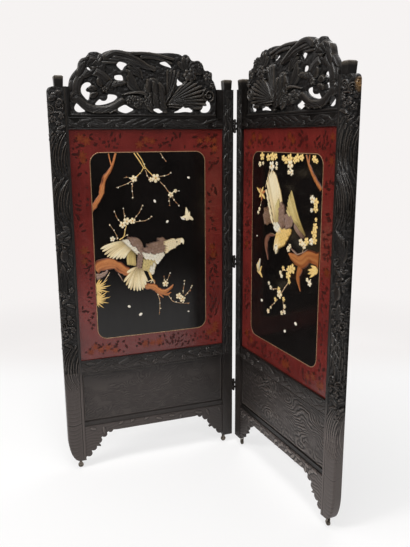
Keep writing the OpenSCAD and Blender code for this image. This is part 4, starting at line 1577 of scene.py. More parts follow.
    def apron(self) -> None:
        """Build the apron: lobed brackets with shallow wave lines that follow them."""
        s = SIZES
        r = Relief(s.hinge_post_w, s.opening_end, s.bracket_low - 2, s.apron_top,
                   self.panel_step)
        x, z = np.meshgrid(r.xs, r.zs)
        reach = np.minimum(x - r.x0, r.x1 - x)
        warp = random_field(r.height.shape, (2, 8), 83)
        flow = z + 16 * warp + 0.35 * np.clip(150 - reach, 0, 150)
        flow = flow + 5 * random_field(r.height.shape, (5, 30), 87)
        lines = np.abs(np.mod(flow / 14, 1) - 0.5) * 2
        strong = np.clip(0.8 + 0.6 * random_field(r.height.shape, (2, 11), 89), 0.15, 1.4)
        pick = self.place.pick
        r.height = pick(0.5, 1.0) * strong * lines ** 0.7
        rng = np.random.default_rng(89)
        for at in np.arange(r.x0 + 20, r.x1 - 20, pick(60, 19)):
            j = rng.uniform(-1, 1, 4)
            r.leaf((at + 6 * j[0], s.apron_top - 9 + 3 * j[1]), 205 + 70 * j[2], 32 + 8 * j[3],
                   15, pick(0.1, 0.9), 60 * j[0])
        r.depth = pick(1.3, 1.0)
        outline = Outline.of_node(self.node("apron"), self.place, s.apron_face + s.apron_t / 2)
        plate = Plate(r, s.apron_face, s.apron_face + s.apron_t, 2.2)
        self.finish_piece(plate.solid(outline), "apron_carved", CARVED_EBONY, "apron")

    def build(self) -> None:
        """Build every carved piece of the frame."""
        self.outer_post()
        self.hinge_post()
        self.rail("top_rail", SIZES.top_rail_z, SIZES.top_rail_top, 41)
        self.rail("mid_rail", SIZES.mid_rail_z, SIZES.mid_rail_top, 53)
        self.lower_panel()
        self.apron()


@dataclass
class Crest(Carcass):
    """The pierced crest: a long-winged bird over feathers, leaves, blossoms and scrolls."""

    step: float = 1.75
    edge_r: float = 5.0
    back_relief: float = 0.6

    def carve(self) -> Relief:
        """Lay the crest's motifs, from the back of the design to its front.

        Returns:
            The relief, on the crest board's own axes.
        """
        s = SIZES
        r = Relief(0, s.crest_w, 0, s.crest_h, self.step)
        r.height -= 2.0
        r.ground(0.5, 8, 91)
        # Clouds and rocks at the back
        for x, z, rx, rz in ((30, 150, 26, 24), (60, 196, 30, 22), (96, 218, 30, 18),
                             (345, 60, 44, 26), (300, 52, 36, 22), (520, 200, 46, 30),
                             (575, 150, 30, 34), (588, 110, 26, 34), (585, 78, 24, 28)):
            r.dome(x, z, rx, rz, -1.2, 3.0, 20)
        # The tail that hangs down at the outer side, with its long lines
        r.band(smooth_path([(470, 222), (484, 186), (474, 146), (446, 116)]), 44, 30, -0.4, 1.8, 5)
        r.band(smooth_path([(480, 218), (498, 184), (494, 150)]), 12, 8, 0.6, 1.6, 2)
        # Feathers under the wing, and the rock beside the body
        r.fan((316, 150), [30, 44, 58, 72], 74, 15, -0.4, 1.8, -14)
        for k in range(3):
            r.leaf((318 + 10 * k, 92 + 8 * k), 22 + 16 * k, 78, 26, 0.3 * k, 20)
        # The wing: long feathers that sweep from the root to the outer end
        root = (262, 184)
        tips = [(474, 206), (470, 220), (452, 232)]
        for k, tip in enumerate(tips):
            mid = ((root[0] + tip[0]) / 2, (root[1] + tip[1]) / 2 + 12 - 2 * k)
            r.blade(smooth_path([tip, mid, root], 7), 20, 0.4 + 0.35 * k, 2.0, 80, 0.97, 0.55)
        r.band(smooth_path([(462, 226), (430, 243), (388, 240), (330, 218), (270, 182)], 7), 26, 12,
               1.5, 2.2, 3)
        # The second wing along the top edge, towards the hinge side
        r.band(smooth_path([(352, 244), (290, 243), (240, 236), (188, 226)], 7), 18, 12, 0.9, 1.8,
               2)
        r.band(smooth_path([(318, 230), (276, 230), (232, 222), (196, 210)], 7), 16, 10, 0.4, 1.8,
               2)
        # The great fan of tail feathers
        r.fan((222, 60), [102, 108, 115, 123], 128, 15, 0.4, 2.0, -16, 2)
        for k, (angle, length) in enumerate([(127, 128), (134, 142), (141, 156), (148, 170),
                                             (155, 180), (162, 178), (168, 174), (174, 168),
                                             (180, 160)]):
            r.blade(swept((216, 50), angle, length, 10, 12), 13.5, 0.4 + 0.18 * k, 2.0, 7.5, 0.88,
                    0.3)
        r.blade(swept((210, 42), 184, 168, -6, 12), 14, 1.9, 1.8, 7.5, 0.84, 0.4)
        # The body, its neck and the blossoms under it
        r.dome(276, 100, 36, 54, 0.6, 2.6)
        for row in range(5):
            for k in range(3):
                start = (308 - 24 * k - 3 * row, 58 + 21 * row - 6 * k)
                r.blade(swept(start, 222 + 9 * row - 8 * k, 50, 18, 6), 25,
                        1.0 + 0.3 * row + 0.15 * k, 2.3, 7.0, 0.55, 0.6, 0.7)
        r.ridge(smooth_path([(300, 88), (330, 96), (372, 92), (400, 86)]), 16, 6, 0.8, 2.6)
        for x, z, size in ((356, 72, 14), (330, 60, 15), (302, 58, 13), (376, 60, 11),
                           (346, 46, 11)):
            r.blossom(x, z, size, 1.0, x)
        # Peony and ragged leaves at the hinge side
        for k, angle in enumerate((20, 50, 80, 112, 145, 180)):
            r.leaf((122, 186), angle, 58, 26, 0.2 + 0.2 * k, 28)
        for k in range(3):
            r.leaf((70 - 14 * k, 170 - 14 * k), 70 + 30 * k, 46, 22, 0.4 + 0.2 * k, -30)
        for k in range(7):
            a = math.radians(360 / 7 * k)
            r.dome(118 + 17 * math.cos(a), 166 + 15 * math.sin(a), 13, 10, 1.0 + 0.1 * k, 2.2,
                   math.degrees(a))
        r.dome(118, 166, 13, 12, 2.2, 2.4)
        r.blossom(44, 162, 17, 1.0, 10)
        r.blossom(20, 128, 13, 0.8, 50)
        r.blossom(72, 204, 13, 0.8, 30)
        # Scroll at the hinge side
        r.scroll(36, 88, 30, 0.9, 1.7, 60, -1, 10)
        # Cloud arc and its curl at the outer side
        arc = [(452, 134), (482, 160), (522, 172), (556, 156), (576, 124), (580, 88)]
        r.band(smooth_path(arc, 6), 30, 34, 0.6, 2.6, 3)
        r.scroll(590, 82, 15, 1.6, 1.4, 100, 1, 6.5)
        # Three-lobed leaves inside the arc
        for x, z, angle in ((500, 104, 10), (480, 112, 60), (462, 104, 110), (444, 118, 150),
                            (424, 126, 160), (496, 92, 330)):
            r.leaf((x, z), angle, 40, 24, 0.9, 24)
        r.blossom(470, 104, 13, 1.8, 20)
        # Flowing lines under it, crossed by lesser waves
        r.band(smooth_path([(580, 66), (546, 40), (500, 28), (452, 34), (404, 62)], 6), 34, 26, 0.5,
               2.2, 5)
        for k in range(3):
            r.ridge(smooth_path([(520 - 34 * k, 16), (486 - 34 * k, 30), (452 - 34 * k, 18)], 6), 7,
                    4, 1.0, 1.6)
        # Broad leaf on the outer shoulder
        for k, (x, z, angle) in enumerate([(482, 196, 20), (500, 216, 350), (524, 224, 330),
                                           (498, 186, 335), (540, 206, 310)]):
            r.leaf((x, z), angle, 66, 30, 0.4 + 0.25 * k, -24)
        # The plain band that stands on the rail
        r.height[r.zs < 12] = -0.6
        r.deepen(2.2)
        r.limit(s.crest_face + RELIEF_LIMIT)
        return r

    def build(self) -> None:
        """Cut the crest to its outline and carve it on both sides."""
        s = SIZES
        r = self.carve()
        shown = Relief(
            s.crest_x, s.crest_x + s.crest_w, s.top_rail_top, s.top_rail_top + s.crest_h, self.step)
        shown.height, shown.depth = r.height, r.depth
        outline = Outline.of_node(self.node("crest"), self.place, s.crest_face + 2)
        plate = Plate(shown, s.crest_face, s.crest_face + s.crest_t, self.edge_r,
                      self.back_relief)
        self.finish_piece(
            plate.solid(outline), "crest_carved", CREST_EBONY, "crest", smooth_angle=62)


# Twigs: their points, their width at both ends, and how many buds they have
LEFT_TWIGS: list[tuple[Points, float, float, int]] = [
    ([(433, 1347), (411, 1315), (394, 1287), (386, 1283)], 8, 7, 0),
    ([(420, 1347), (400, 1318), (387, 1288), (367, 1265), (344, 1243)], 7, 5, 2),
    ([(325, 1228), (305, 1206), (280, 1172)], 4.5, 3.5, 2),
    ([(279, 1168), (259, 1142), (241, 1122)], 3, 1.6, 3),
    ([(394, 1287), (409, 1265), (433, 1246)], 5.5, 4.5, 2),
    ([(437, 1243), (457, 1249), (478, 1248)], 3.4, 1.8, 2),
    ([(442, 1236), (475, 1220), (512, 1209)], 4, 1.8, 3),
    ([(439, 1233), (445, 1206), (441, 1164)], 4, 1.8, 4),
    ([(327, 1249), (291, 1255), (277, 1267)], 4, 2, 3),
    ([(386, 1276), (378, 1252), (366, 1236)], 4.5, 3, 2),
    ([(281, 1174), (260, 1186), (241, 1187)], 4, 2, 3), ([(288, 1160), (284, 1124)], 3, 1.6, 2),
    ([(322, 1346), (309, 1326), (296, 1308)], 4, 2, 2),
    ([(506, 994), (487, 1006), (480, 1032), (474, 1052)], 8, 5.5, 1),
    ([(515, 994), (518, 1016), (545, 1063)], 4.5, 2, 4),
    ([(495, 1065), (512, 1086), (523, 1119)], 3.6, 1.6, 3),
    ([(480, 1078), (482, 1100), (484, 1128)], 3.6, 1.6, 3),
    ([(441, 1076), (417, 1105), (403, 1136)], 3.8, 1.8, 4),
    ([(440, 1065), (392, 1069), (361, 1084)], 3.8, 1.8, 4), ([(491, 1004), (467, 1013)], 4, 2, 1),
    ([(352, 760), (338, 713), (342, 652)], 4.5, 1.8, 5),
    ([(305, 748), (285, 714), (269, 702), (235, 694), (201, 691)], 5, 1.8, 5),
    ([(232, 738), (228, 765), (221, 798)], 4, 1.8, 4),
    ([(223, 726), (199, 752), (190, 773)], 4, 1.8, 4), ([(313, 797), (318, 823)], 3.4, 1.8, 2),
    ([(303, 800), (290, 837)], 3.4, 1.6, 3),
]
RIGHT_TWIGS: list[tuple[Points, float, float, int]] = [
    ([(231, 1212), (245, 1245), (256, 1272), (274, 1300)], 5, 4, 2),
    ([(203, 1156), (191, 1130), (175, 1105)], 4, 2, 3), ([(542, 1205), (559, 1193)], 3, 2, 2),
    ([(553, 1153), (572, 1165)], 3, 2, 1), ([(502, 990), (513, 1018)], 5, 4, 1),
    ([(556, 888), (564, 905)], 4, 3, 1),
    ([(422, 866), (393, 836), (374, 814), (357, 798)], 7, 5, 2),
    ([(334, 816), (290, 808), (268, 828)], 5, 2.4, 3),
    ([(340, 774), (298, 738), (270, 707)], 5, 2.4, 4),
    ([(379, 782), (385, 747), (373, 727)], 5, 2.4, 3),
    ([(412, 905), (376, 900), (356, 887)], 5, 2.4, 3),
]
# Blossoms: their middle and their radius
LEFT_BLOSSOMS: list[tuple[Finish, float, float, float]] = [
    (BONE, 344, 1243, 18), (BONE, 436, 1243, 14), (BONE, 280, 1172, 12), (BONE, 364, 1237, 10),
    (BONE, 259, 1187, 8), (BONE, 490, 1056, 14), (BONE, 472, 1070, 15), (BONE, 448, 1070, 13),
    (SHELL, 534, 999, 11), (BONE, 311, 789, 13.5), (BONE, 251, 728, 14), (BONE, 235, 713, 14),
]
YELLOW_BLOSSOMS: list[tuple[float, ...]] = [
    (203, 1332, 16), (250, 1329, 15), (281, 1333, 17), (304, 1334, 13), (360, 1329, 12),
    (379, 1321, 14), (405, 1330, 17), (438, 1324, 13), (456, 1332, 16), (483, 1335, 13),
    (559, 1333, 13), (574, 1325, 9), (578, 1184, 15), (578, 1161, 14), (579, 1098, 14),
    (574, 1074, 17), (578, 1048, 14), (528, 1038, 15), (441, 919, 19), (418, 909, 17),
    (413, 887, 16), (376, 909, 9), (348, 817, 11), (385, 786, 10), (323, 770, 9), (421, 864, 10),
    (582, 1123, 8),
]
WHITE_BLOSSOMS: list[tuple[float, ...]] = [
    (186, 1301, 11), (211, 1305, 7), (278, 1297, 19), (313, 1307, 8), (313, 1291, 8),
    (409, 1306, 18), (419, 1279, 12), (400, 1279, 9), (557, 1192, 15), (554, 1153, 8),
    (558, 1041, 13), (494, 1029, 15), (514, 1020, 13), (556, 887, 12), (541, 897, 8),
    (354, 799, 18), (357, 887, 8), (366, 876, 9), (287, 811, 9), (272, 826, 8), (270, 707, 10),
    (290, 728, 6), (393, 758, 9), (393, 735, 9), (373, 727, 9), (410, 990, 12), (420, 1003, 9),
    (187, 1120, 8), (178, 1105, 7),
]
# Loose petals: their middle, their size and the way that they lie, in degrees
LEFT_PETALS: list[tuple[float, ...]] = [
    (200, 1241, 6, 20), (350, 1148, 7, 60), (297, 1059, 6.5, 140), (474, 703, 7, 30),
    (425, 663, 8, 150), (207, 653, 4, 0),
]
RIGHT_PETALS: list[tuple[float, ...]] = [
    (216, 740, 8, 10), (473, 710, 9, 170), (398, 658, 8, 20), (169, 1007, 4, 0),
]


@dataclass
class Inlay(Carcass):
    """One leaf's picture in bone, shell and wood: cut, carved and laid on the lacquer.

    Each cut piece is a closed solid of its own that stands on the panel. Places are the leaf's
    own x and z, so the two leaves have two drawings.
    """

    laid: dict[Finish, Solid] = field(default_factory=dict)
    face: float = SIZES.board_face
    margin: float = 1.6

    def put(self, finish: Finish, points: Array, faces: list[Array], rise: Array,
            tone: float) -> None:
        """Add a cut piece to the solid that holds all pieces of its material.

        Args:
            finish: its material.
            points: its points.
            faces: its faces.
            rise: the carving's height at each point.
            tone: how pale it is.
        """
        s = SIZES
        points = points.copy()
        points[:, 0] = np.clip(points[:, 0], s.picture_x + self.margin,
                               s.picture_x + s.picture_w - self.margin)
        points[:, 2] = np.clip(points[:, 2], s.picture_z + self.margin,
                               s.picture_z + s.picture_h - self.margin)
        self.laid.setdefault(finish, Solid()).add(points, faces, rise, tone)

    def strip(self, finish: Finish, path: Array, half: Array, base: float, crown: float,
              cut: Array | float = 0.0, tone: float = 0.6, across: int = 9,
              fade: float = 0.0) -> None:
        """Lay a long piece along a path.

        Args:
            finish: its material.
            path: an (n, 2) array.
            half: its half width at each point of the path.
            base: the height of its edges over the lacquer.
            crown: how much higher its middle is.
            cut: the depth of the carving, as an (n, across) array.
            tone: how pale this piece is.
            across: how many points lie across it.
            fade: how much darker it is at its start, from 0 to 1: a painted shade where the
            piece before lies over it.
        """
        n = len(path)
        way = np.gradient(path, axis=0)
        way /= np.maximum(np.hypot(*way.T), 1e-9)[:, None]
        u = np.linspace(-1, 1, across)
        v = half[:, None] * u
        high = base + crown * np.sqrt(1 - 0.95 * u ** 2) * np.minimum(half / 2.5, 1)[:, None]
        x = path[:, :1] - way[:, 1:] * v
        z = path[:, 1:] + way[:, :1] * v
        y = self.face - high + cut
        low = np.full((n, 1), self.face + BEDDING)
        grid = np.stack([np.hstack([x[:, :1], x, x[:, -1:]]), np.hstack([low, y, low]),
                         np.hstack([z[:, :1], z, z[:, -1:]])], axis=-1)
        m = across + 2
        index = np.arange(n * m).reshape(n, m)
        side = np.roll(index, -1, axis=1)
        ends = grid[[0, -1]].mean(axis=1)
        first, last = np.full(m, n * m), np.full(m, n * m + 1)
        caps = [np.stack([index[0], side[0], first], axis=1),
                np.stack([side[-1], index[-1], last], axis=1)]
        # The edges go darker, a painted shade where the piece's sides turn down to the lacquer; the
        # cuts go darker as engraved lines do
        rise = np.full((n, m), 0.12)
        rise[:, 1:-1] = 0.8 - 0.72 * u ** 4 - 0.9 * np.broadcast_to(cut, (n, across))
        # Painted shade: the start goes darker where the piece before lies over it
        rise *= 1 - fade * np.clip(1 - 1.6 * np.linspace(0, 1, n), 0, 1)[:, None]
        points = np.concatenate([grid.reshape(-1, 3), ends])
        self.put(finish, points, [tube_faces(index, True), *caps],
                 np.clip(np.append(rise.ravel(), [0.4, 0.4]), 0, 1), tone)

    def pad(self, finish: Finish, outline: Array, base: float, crown: float,
            cut: Array | float = 0.0, tone: float = 0.6, rings: int = 6) -> None:
        """Lay a piece whose edge is a closed outline, higher towards its middle.

        Args:
            finish: its material.
            outline: an (n, 2) array, open at its end.
            base: the height of its edge over the lacquer.
            crown: how much higher its middle is.
            cut: the depth of the carving, as a (rings, n) array from the middle out.
            tone: how pale this piece is.
            rings: how many rings lie between the middle and the edge.
        """
        ahead = np.roll(outline, -1, axis=0)
        if (outline[:, 0] * ahead[:, 1] - ahead[:, 0] * outline[:, 1]).sum() < 0:
            outline = outline[::-1]
        n = len(outline)
        centre = outline.mean(axis=0)
        share = np.linspace(0, 1, rings + 1)[1:]
        flat = centre + share[:, None, None] * (outline - centre)
        high = base + crown * np.sqrt(1 - 0.96 * share ** 2)[:, None]
        y = self.face - high + np.broadcast_to(cut, (rings, n))
        grid = np.concatenate([np.stack([flat[..., 0], y, flat[..., 1]], axis=-1),
                               np.stack([outline[:, 0], np.full(n, self.face + BEDDING),
                                         outline[:, 1]], axis=-1)[None]])
        index = np.arange((rings + 1) * n).reshape(rings + 1, n)
        side = np.roll(index, -1, axis=1)
        mid_y = float(self.face - base - crown + np.mean(np.broadcast_to(cut, (rings, n))[0]))
        ends = [[centre[0], mid_y, centre[1]], [centre[0], self.face + BEDDING, centre[1]]]
        first, last = np.full(n, (rings + 1) * n), np.full(n, (rings + 1) * n + 1)
        caps = [np.stack([first, index[0], side[0]], axis=1),
                np.stack([last, side[-1], index[-1]], axis=1)]
        # The outer ring goes darker, a painted shade where the piece's side turns down to the
        # lacquer
        rise = np.full((rings + 1, n), 0.12)
        rise[:-1] = 0.8 - 0.5 * share[:, None] ** 6 - 0.8 * np.broadcast_to(cut, (rings, n))
        self.put(finish, np.concatenate([grid.reshape(-1, 3), ends]),
                 [tube_faces(index, True), *caps],
                 np.clip(np.append(rise.ravel(), [0.6, 0.1]), 0, 1), tone)

    def gilt_line(self) -> None:
        """Lay a thin half-round line of dull gilt round the picture."""
        s = SIZES
        middle = self.round_corners(s.picture_r).reshape(-1, 2)
        way = np.roll(middle, -1, axis=0) - np.roll(middle, 1, axis=0)
        way /= np.hypot(*way.T)[:, None]
        b = np.radians(np.linspace(0, 180, 7))
        out, up = 1.5 * np.cos(b), 0.9 * np.sin(b)
        x = middle[:, :1] + way[:, 1:] * out
        z = middle[:, 1:] - way[:, :1] * out
        y = np.broadcast_to(s.board_face + 0.2 - up, x.shape)
        index = np.arange(x.size).reshape(x.shape)
        solid = Solid()
        solid.add(np.stack([x, y, z], axis=-1).reshape(-1, 3),
                  [tube_faces(np.vstack([index, index[:1]]))], 0.6, 0.6)
        self.finish_piece(solid, "gilt_line", GOLD_LINE, "gold_line")

    @staticmethod
    def round_corners(r: float, grow: float = 0.0) -> Array:
        """Return the picture's four round corners, as a (4, 16, 2) array.

        Args:
            r: the radius that the corners are drawn with.
            grow: how far outside that radius the points lie.

        Returns:
            The points, counter-clockwise from the upper right corner.
        """
        s = SIZES
        x, z, w, h = s.picture_x, s.picture_z, s.picture_w, s.picture_h
        a = np.linspace(0, np.pi / 2, 16) + np.arange(4)[:, None] * np.pi / 2
        centre = np.array(
            [(x + w - r, z + h - r), (x + r, z + h - r), (x + r, z + r), (x + w - r, z + r)])
        return centre[:, None] + (r + grow) * np.stack([np.cos(a), np.sin(a)], axis=-1)

    def lacquer_corners(self) -> None:
        """Carry the red lacquer over the opening's corners, up to the rounder gilt line."""
        s = SIZES
        solid = Solid()
        low, high = s.board_face + BEDDING, s.board_face - 0.15
        outer = self.round_corners(s.opening_r, 0.6)
        inner = self.round_corners(s.picture_r)
        for near, far in zip(outer, inner):
            rings = [np.insert(ring, 1, y, axis=1)
                     for ring, y in ((near, low), (near, high), (far, high), (far, low))]
            points = np.stack(rings, axis=1)
            index = np.arange(points.size // 3).reshape(points.shape[:2])
            solid.add(points.reshape(-1, 3), [tube_faces(index), index[:1, ::-1], index[-1:]])
        self.finish_piece(solid, "border_corners", RED_LACQUER, smooth_angle=30)

    @staticmethod
    def bowed(root: Point, tip: Point, bow: float, pitch: float) -> tuple[Array, Array, float]:
        """Return a path from root to tip that bends aside by a share of its length.

        Args:
            root: where it starts.
            tip: where it ends.
            bow: how far it bends aside, as a share of its length.
            pitch: about how far apart its points lie.

        Returns:
            The path, the share of the way at each of its points, and its straight length.
        """
        a, b = np.asarray(root, float), np.asarray(tip, float)
        length = float(np.hypot(*(b - a)))
        t = np.linspace(0, 1, max(8, round(length / pitch)))
        left = np.array([a[1] - b[1], b[0] - a[0]])
        return a + t[:, None] * (b - a) + np.sin(np.pi * t)[:, None] * bow * left, t, length

    def feather(self, finish: Finish, root: Point, tip: Point, width: float, base: float,
                bow: float = 0.06, tone: float = 0.6, point: float = 0.84) -> None:
        """Lay one feather from root to tip, with a shaft and slanting barbs.

        Args:
            finish: its material.
            root: where it starts.
            tip: where it ends.
            width: its full width.
            base: the height of its edges.
            bow: how far it bends aside, as a share of its length.
            tone: how pale it is.
            point: where it starts to narrow to its tip, from 0 to 1.
        """
        path, t, length = self.bowed(root, tip, bow, 1.7)
        close = np.sqrt(np.clip(1 - (np.clip(t - point, 0, 1) / (1.001 - point)) ** 2, 0, 1))
        half = np.maximum(width / 2 * (0.6 + 0.4 * np.sin(t / 0.84 * np.pi / 2)) * close, 0.35)
        v = half[:, None] * np.linspace(-1, 1, 9)
        barbs = np.sin(2 * np.pi * (t[:, None] * length - 1.2 * np.abs(v)) / 6.2)
        cut = 0.14 + 0.22 * barbs + 0.4 * np.exp(-(v / 0.8) ** 2)
        self.strip(finish, path, half, base, 0.9, cut, tone, 9, 0.7)

    def fan(self, finish: Finish, roots: Points, tips: Points, count: int, width: float,
            base: float, bow: float = 0.06) -> None:
        """Lay feathers between a first and a last, each a little over the one before.

        Args:
            finish: its material.
            roots: points of the line that they start from.
            tips: points of the line that they end on.
            count: how many there are.
            width: the width of each.
            base: the height of the first one's edges.
            bow: how far each bends aside, as a share of its length.
        """
        rng = np.random.default_rng(count + int(abs(roots[0][0])))
        roots_at, tips_at = smooth_path(roots, 12), smooth_path(tips, 12)
        for k in range(count):
            s = k / max(count - 1, 1)
            i, j = round(s * (len(roots_at) - 1)), round(s * (len(tips_at) - 1))
            self.feather(finish, roots_at[i], tips_at[j], width, base + 0.22 * k, bow,
                         0.15 + 0.85 * rng.random(), 0.72)

    def coverts(self, finish: Finish, region: Points, angle: float, length: float,
                width: float, base: float, tone: float = 0.6) -> None:
        """Cover a region with short feathers in rows, over a ground piece.

        Args:
            finish: their material.
            region: the region's corners.
            angle: the way that the tips point, in degrees.
            length: a feather's length.
            width: a feather's width.
            base: the height of the ground piece.
            tone: how pale they are.
        """
        length, width = 1.45 * length, 1.5 * width
        corners = np.asarray(region, float)
        closed = smooth_path(region + region[:1], 4)[:-1]
        closed = corners.mean(axis=0) + 0.95 * (closed - corners.mean(axis=0))
        self.pad(finish, closed, base, 1.2, 0.0, tone * 0.7, 4)
        a = math.radians(angle)
        way, side = np.array([math.cos(a), math.sin(a)]), np.array([-math.sin(a), math.cos(a)])
        middle = corners.mean(axis=0)
        along, across = (corners - middle) @ way, (corners - middle) @ side
        rng = np.random.default_rng(int(abs(middle[0])))
        row = 0
        s = along.max()
        while s > along.min():
            v = across.min() + (width * 0.45 if row % 2 else 0.0)
            while v < across.max():
                at = middle + way * (s - length * 0.4) + side * v
                if self.inside(closed, at + way * length * 0.3):
                    self.feather(finish, at - way * length * 0.5, at + way * length * 0.5, width,
                                 base + 1.0 + 0.16 * row, 0.02, tone + 0.3 * rng.uniform(-1, 1))
                v += width * 0.86
            s -= length * 0.52
            row += 1

    @staticmethod
    def inside(outline: Array, at: Array) -> bool:
        """Tell whether a place lies within a closed outline.

        Args:
            outline: the outline's points.
            at: the place.

        Returns:
            Whether it lies within.
        """
        a, b = outline, np.roll(outline, -1, axis=0)
        hit = (a[:, 1] > at[1]) != (b[:, 1] > at[1])
        p, q = a[hit], b[hit]
        cross = p[:, 0] + (q[:, 0] - p[:, 0]) * (at[1] - p[:, 1]) / (q[:, 1] - p[:, 1])
        return bool((cross > at[0]).sum() % 2)

    def bough(self, finish: Finish, points: Points, widths: list[float], base: float = 0.6,
              crown: float = 3.2, tone: float = 0.6) -> None:
        """Lay a bough: bark in long ridges, with knots and an uneven edge.

        Args:
            finish: its material.
            points: places along its middle.
            widths: its widths, evenly along it.
            base: the height of its edges.
            crown: how much higher its middle is.
            tone: how pale it is.
        """
        path = smooth_path(points, 14)
        n = len(path)
        rng = np.random.default_rng(int(abs(points[0][0] + points[-1][1])))
        path = path + min(max(widths) * 0.08, 2) * random_field((n, 2), (n / 8, 1),
                                                                 int(rng.integers(1, 999)))
        at = np.linspace(0, len(widths) - 1, n)
        wobble = 1 + 0.2 * random_field((n, 4), (n / 4, 1), int(rng.integers(1, 999)))[:, 0]
        half = np.maximum(np.interp(at, range(len(widths)), widths) / 2 * wobble, 0.5)
        u = np.linspace(-1, 1, 15)
        grain = random_field((n, 15), (n / 26, 6), int(rng.integers(1, 999)))
        ridges = np.sin(9.5 * u[None, :] + 2.4 * grain)
        knots = random_field((n, 15), (n / 12, 3), int(rng.integers(1, 999)))
        cut = 0.22 - 0.22 * ridges * np.abs(ridges) + 0.7 * np.clip(knots - 0.35, 0, 1)
        self.strip(finish, path, half, base, crown, cut * np.minimum(half / 5, 1)[:, None],
                   tone, 15)

    def twig(self, points: Points, w0: float = 3.6, w1: float = 1.6, buds: int = 3,
             finish: Finish = TWIG_BONE) -> None:
        """Lay a thin twig with small buds along it.

        Args:
            points: places along it.
            w0: its width where it starts.
            w1: its width where it ends.
            buds: how many buds it has.
            finish: its material.
        """
        path = smooth_path(points, 8)
        half = np.linspace(w0, w1, len(path)) * 0.31
        self.strip(finish, path, half, 0.5, 1.0, 0.0, 0.3, 5)
        rng = np.random.default_rng(int(abs(points[0][0] * 3 + points[-1][1])))
        for k in range(buds):
            at = path[round((k + 1) / (buds + 0.4) * (len(path) - 1))]
            away = rng.uniform(-3.6, 3.6, 2)
            self.dot((BONE, ORANGE_WOOD, SHELL)[k % 3], at[0] + away[0], at[1] + away[1],
                     (2.8, 2.0, 2.5)[k % 3], 0.9)

    def dot(self, finish: Finish, x: float, z: float, r: float, tone: float = 0.6,
            stretch: float = 1.0, angle: float = 0.0, base: float = 0.5) -> None:
        """Lay a small rounded piece, such as a bud or a fallen petal.

        Args:
            finish: its material.
            x: its middle.
            z: its middle.
            r: its radius.
            tone: how pale it is.
            stretch: its length over its width.
            angle: the way that it lies, in degrees.
            base: the height of its edge.
        """
        a = np.linspace(0, 2 * np.pi, 14, endpoint=False)
        ring = np.stack([r * stretch * np.cos(a), r * np.sin(a)], axis=1)
        c, s = math.cos(math.radians(angle)), math.sin(math.radians(angle))
        turned = ring @ np.array([[c, s], [-s, c]])
        self.pad(finish, turned + [x, z], base, 0.35 * r, 0.0, tone, 3)

    def blossom(self, finish: Finish, x: float, z: float, r: float, base: float = 1.2,
                turn: float = 0.0) -> None:
        """Lay a flower: five dished petals with creases, a button and its stamens.

        Args:
            finish: the petals' material.
            x: its middle.
            z: its middle.
            r: its radius.
            base: the height of its edge.
            turn: how far it is turned, in degrees.
        """
        a = np.linspace(0, 2 * np.pi, 50, endpoint=False)
        lobe = np.abs(np.cos(2.5 * (a - math.radians(turn))))
        reach = r * (0.6 + 0.44 * lobe ** 0.6)
        outline = np.stack([x + reach * np.cos(a), z + reach * np.sin(a)], axis=1)
        share = np.linspace(0, 1, 8)[1:, None]
        crease = np.exp(-(lobe / 0.3) ** 2)[None, :]
        dish = 0.9 * (1 - np.abs(share * 1.6 - 1.0)) * lobe[None, :]
        veins = 0.16 * np.sin(25 * (a - math.radians(turn)))[None, :] * share
        self.pad(finish, outline, base, 1.2, 0.75 * crease * share ** 0.4 - dish + veins + 0.2,
                 0.4, 7)
        for layer, size, rise in ((BOXWOOD, 0.38, 0.9), (ORANGE_WOOD, 0.16, 1.4)):
            self.pad(layer, outline[::5] * size + np.array([x, z]) * (1 - size), base + rise,
                     0.7, 0.0, 0.4, 2)

    def leaf(self, finish: Finish, root: Point, tip: Point, width: float, base: float = 0.8,
             bow: float = 0.12, tone: float = 0.6) -> None:
        """Lay a pointed leaf with a middle rib.

        Args:
            finish: its material.
            root: where it starts.
            tip: where it ends.
            width: its full width.
            base: the height of its edges.
            bow: how far it bends aside, as a share of its length.
            tone: how pale it is.
        """
        path, t, length = self.bowed(root, tip, bow, 1.8)
        half = np.maximum(width / 2 * np.sin(np.pi * t ** 0.75) ** 0.8, 0.3)
        v = half[:, None] * np.linspace(-1, 1, 9)
        veins = np.sin(2 * np.pi * (t[:, None] * length - 1.4 * np.abs(v)) / 5.5)
        cut = 0.14 + 0.14 * veins + 0.35 * np.exp(-(v / 0.7) ** 2)
        self.strip(finish, path, half, base, 1.3, cut, tone)

    def left_picture(self) -> None:
        """A hawk at rest on a bough, plum twigs above and below, and a small bird."""
        self.left_plum()
        self.left_bough()
        self.left_hawk()

    def left_plum(self) -> None:
        """Lay the plum boughs and twigs, their blossoms and the small bird."""
        self.bough(ORANGE_WOOD, [(506, 1347), (525, 1292), (552, 1256), (567, 1218), (576, 1181),
                                 (600, 1142), (620, 1118)], [9, 13, 20, 22, 23, 24, 22])
        self.bough(ORANGE_WOOD, [(537, 1346), (533, 1322), (527, 1300)], [5, 5, 8], 0.5, 2)
        for points, w0, w1, buds in LEFT_TWIGS:
            self.twig(points, w0, w1, buds, BOXWOOD if w0 > 5 else TWIG_BONE)
        for finish, x, z, r in LEFT_BLOSSOMS:
            self.blossom(finish, x, z, r, 1.2, x)
        for x, z, r, angle in LEFT_PETALS:
            self.dot(SHELL, x, z, 0.75 * r, 0.9, 1.4, angle)
        # The small bird
        self.leaf(BONE, (181, 1060), (237, 1072), 18, 1.4, 0.16, 0.95)
        self.leaf(BONE, (211, 1058), (213, 1117), 19, 1.6, 0.05, 0.95)
        self.leaf(BONE, (203, 1060), (196, 1098), 13, 1.9, -0.05, 0.9)
        self.leaf(SHELL, (217, 1064), (239, 1078), 9, 2.0, -0.1, 0.95)

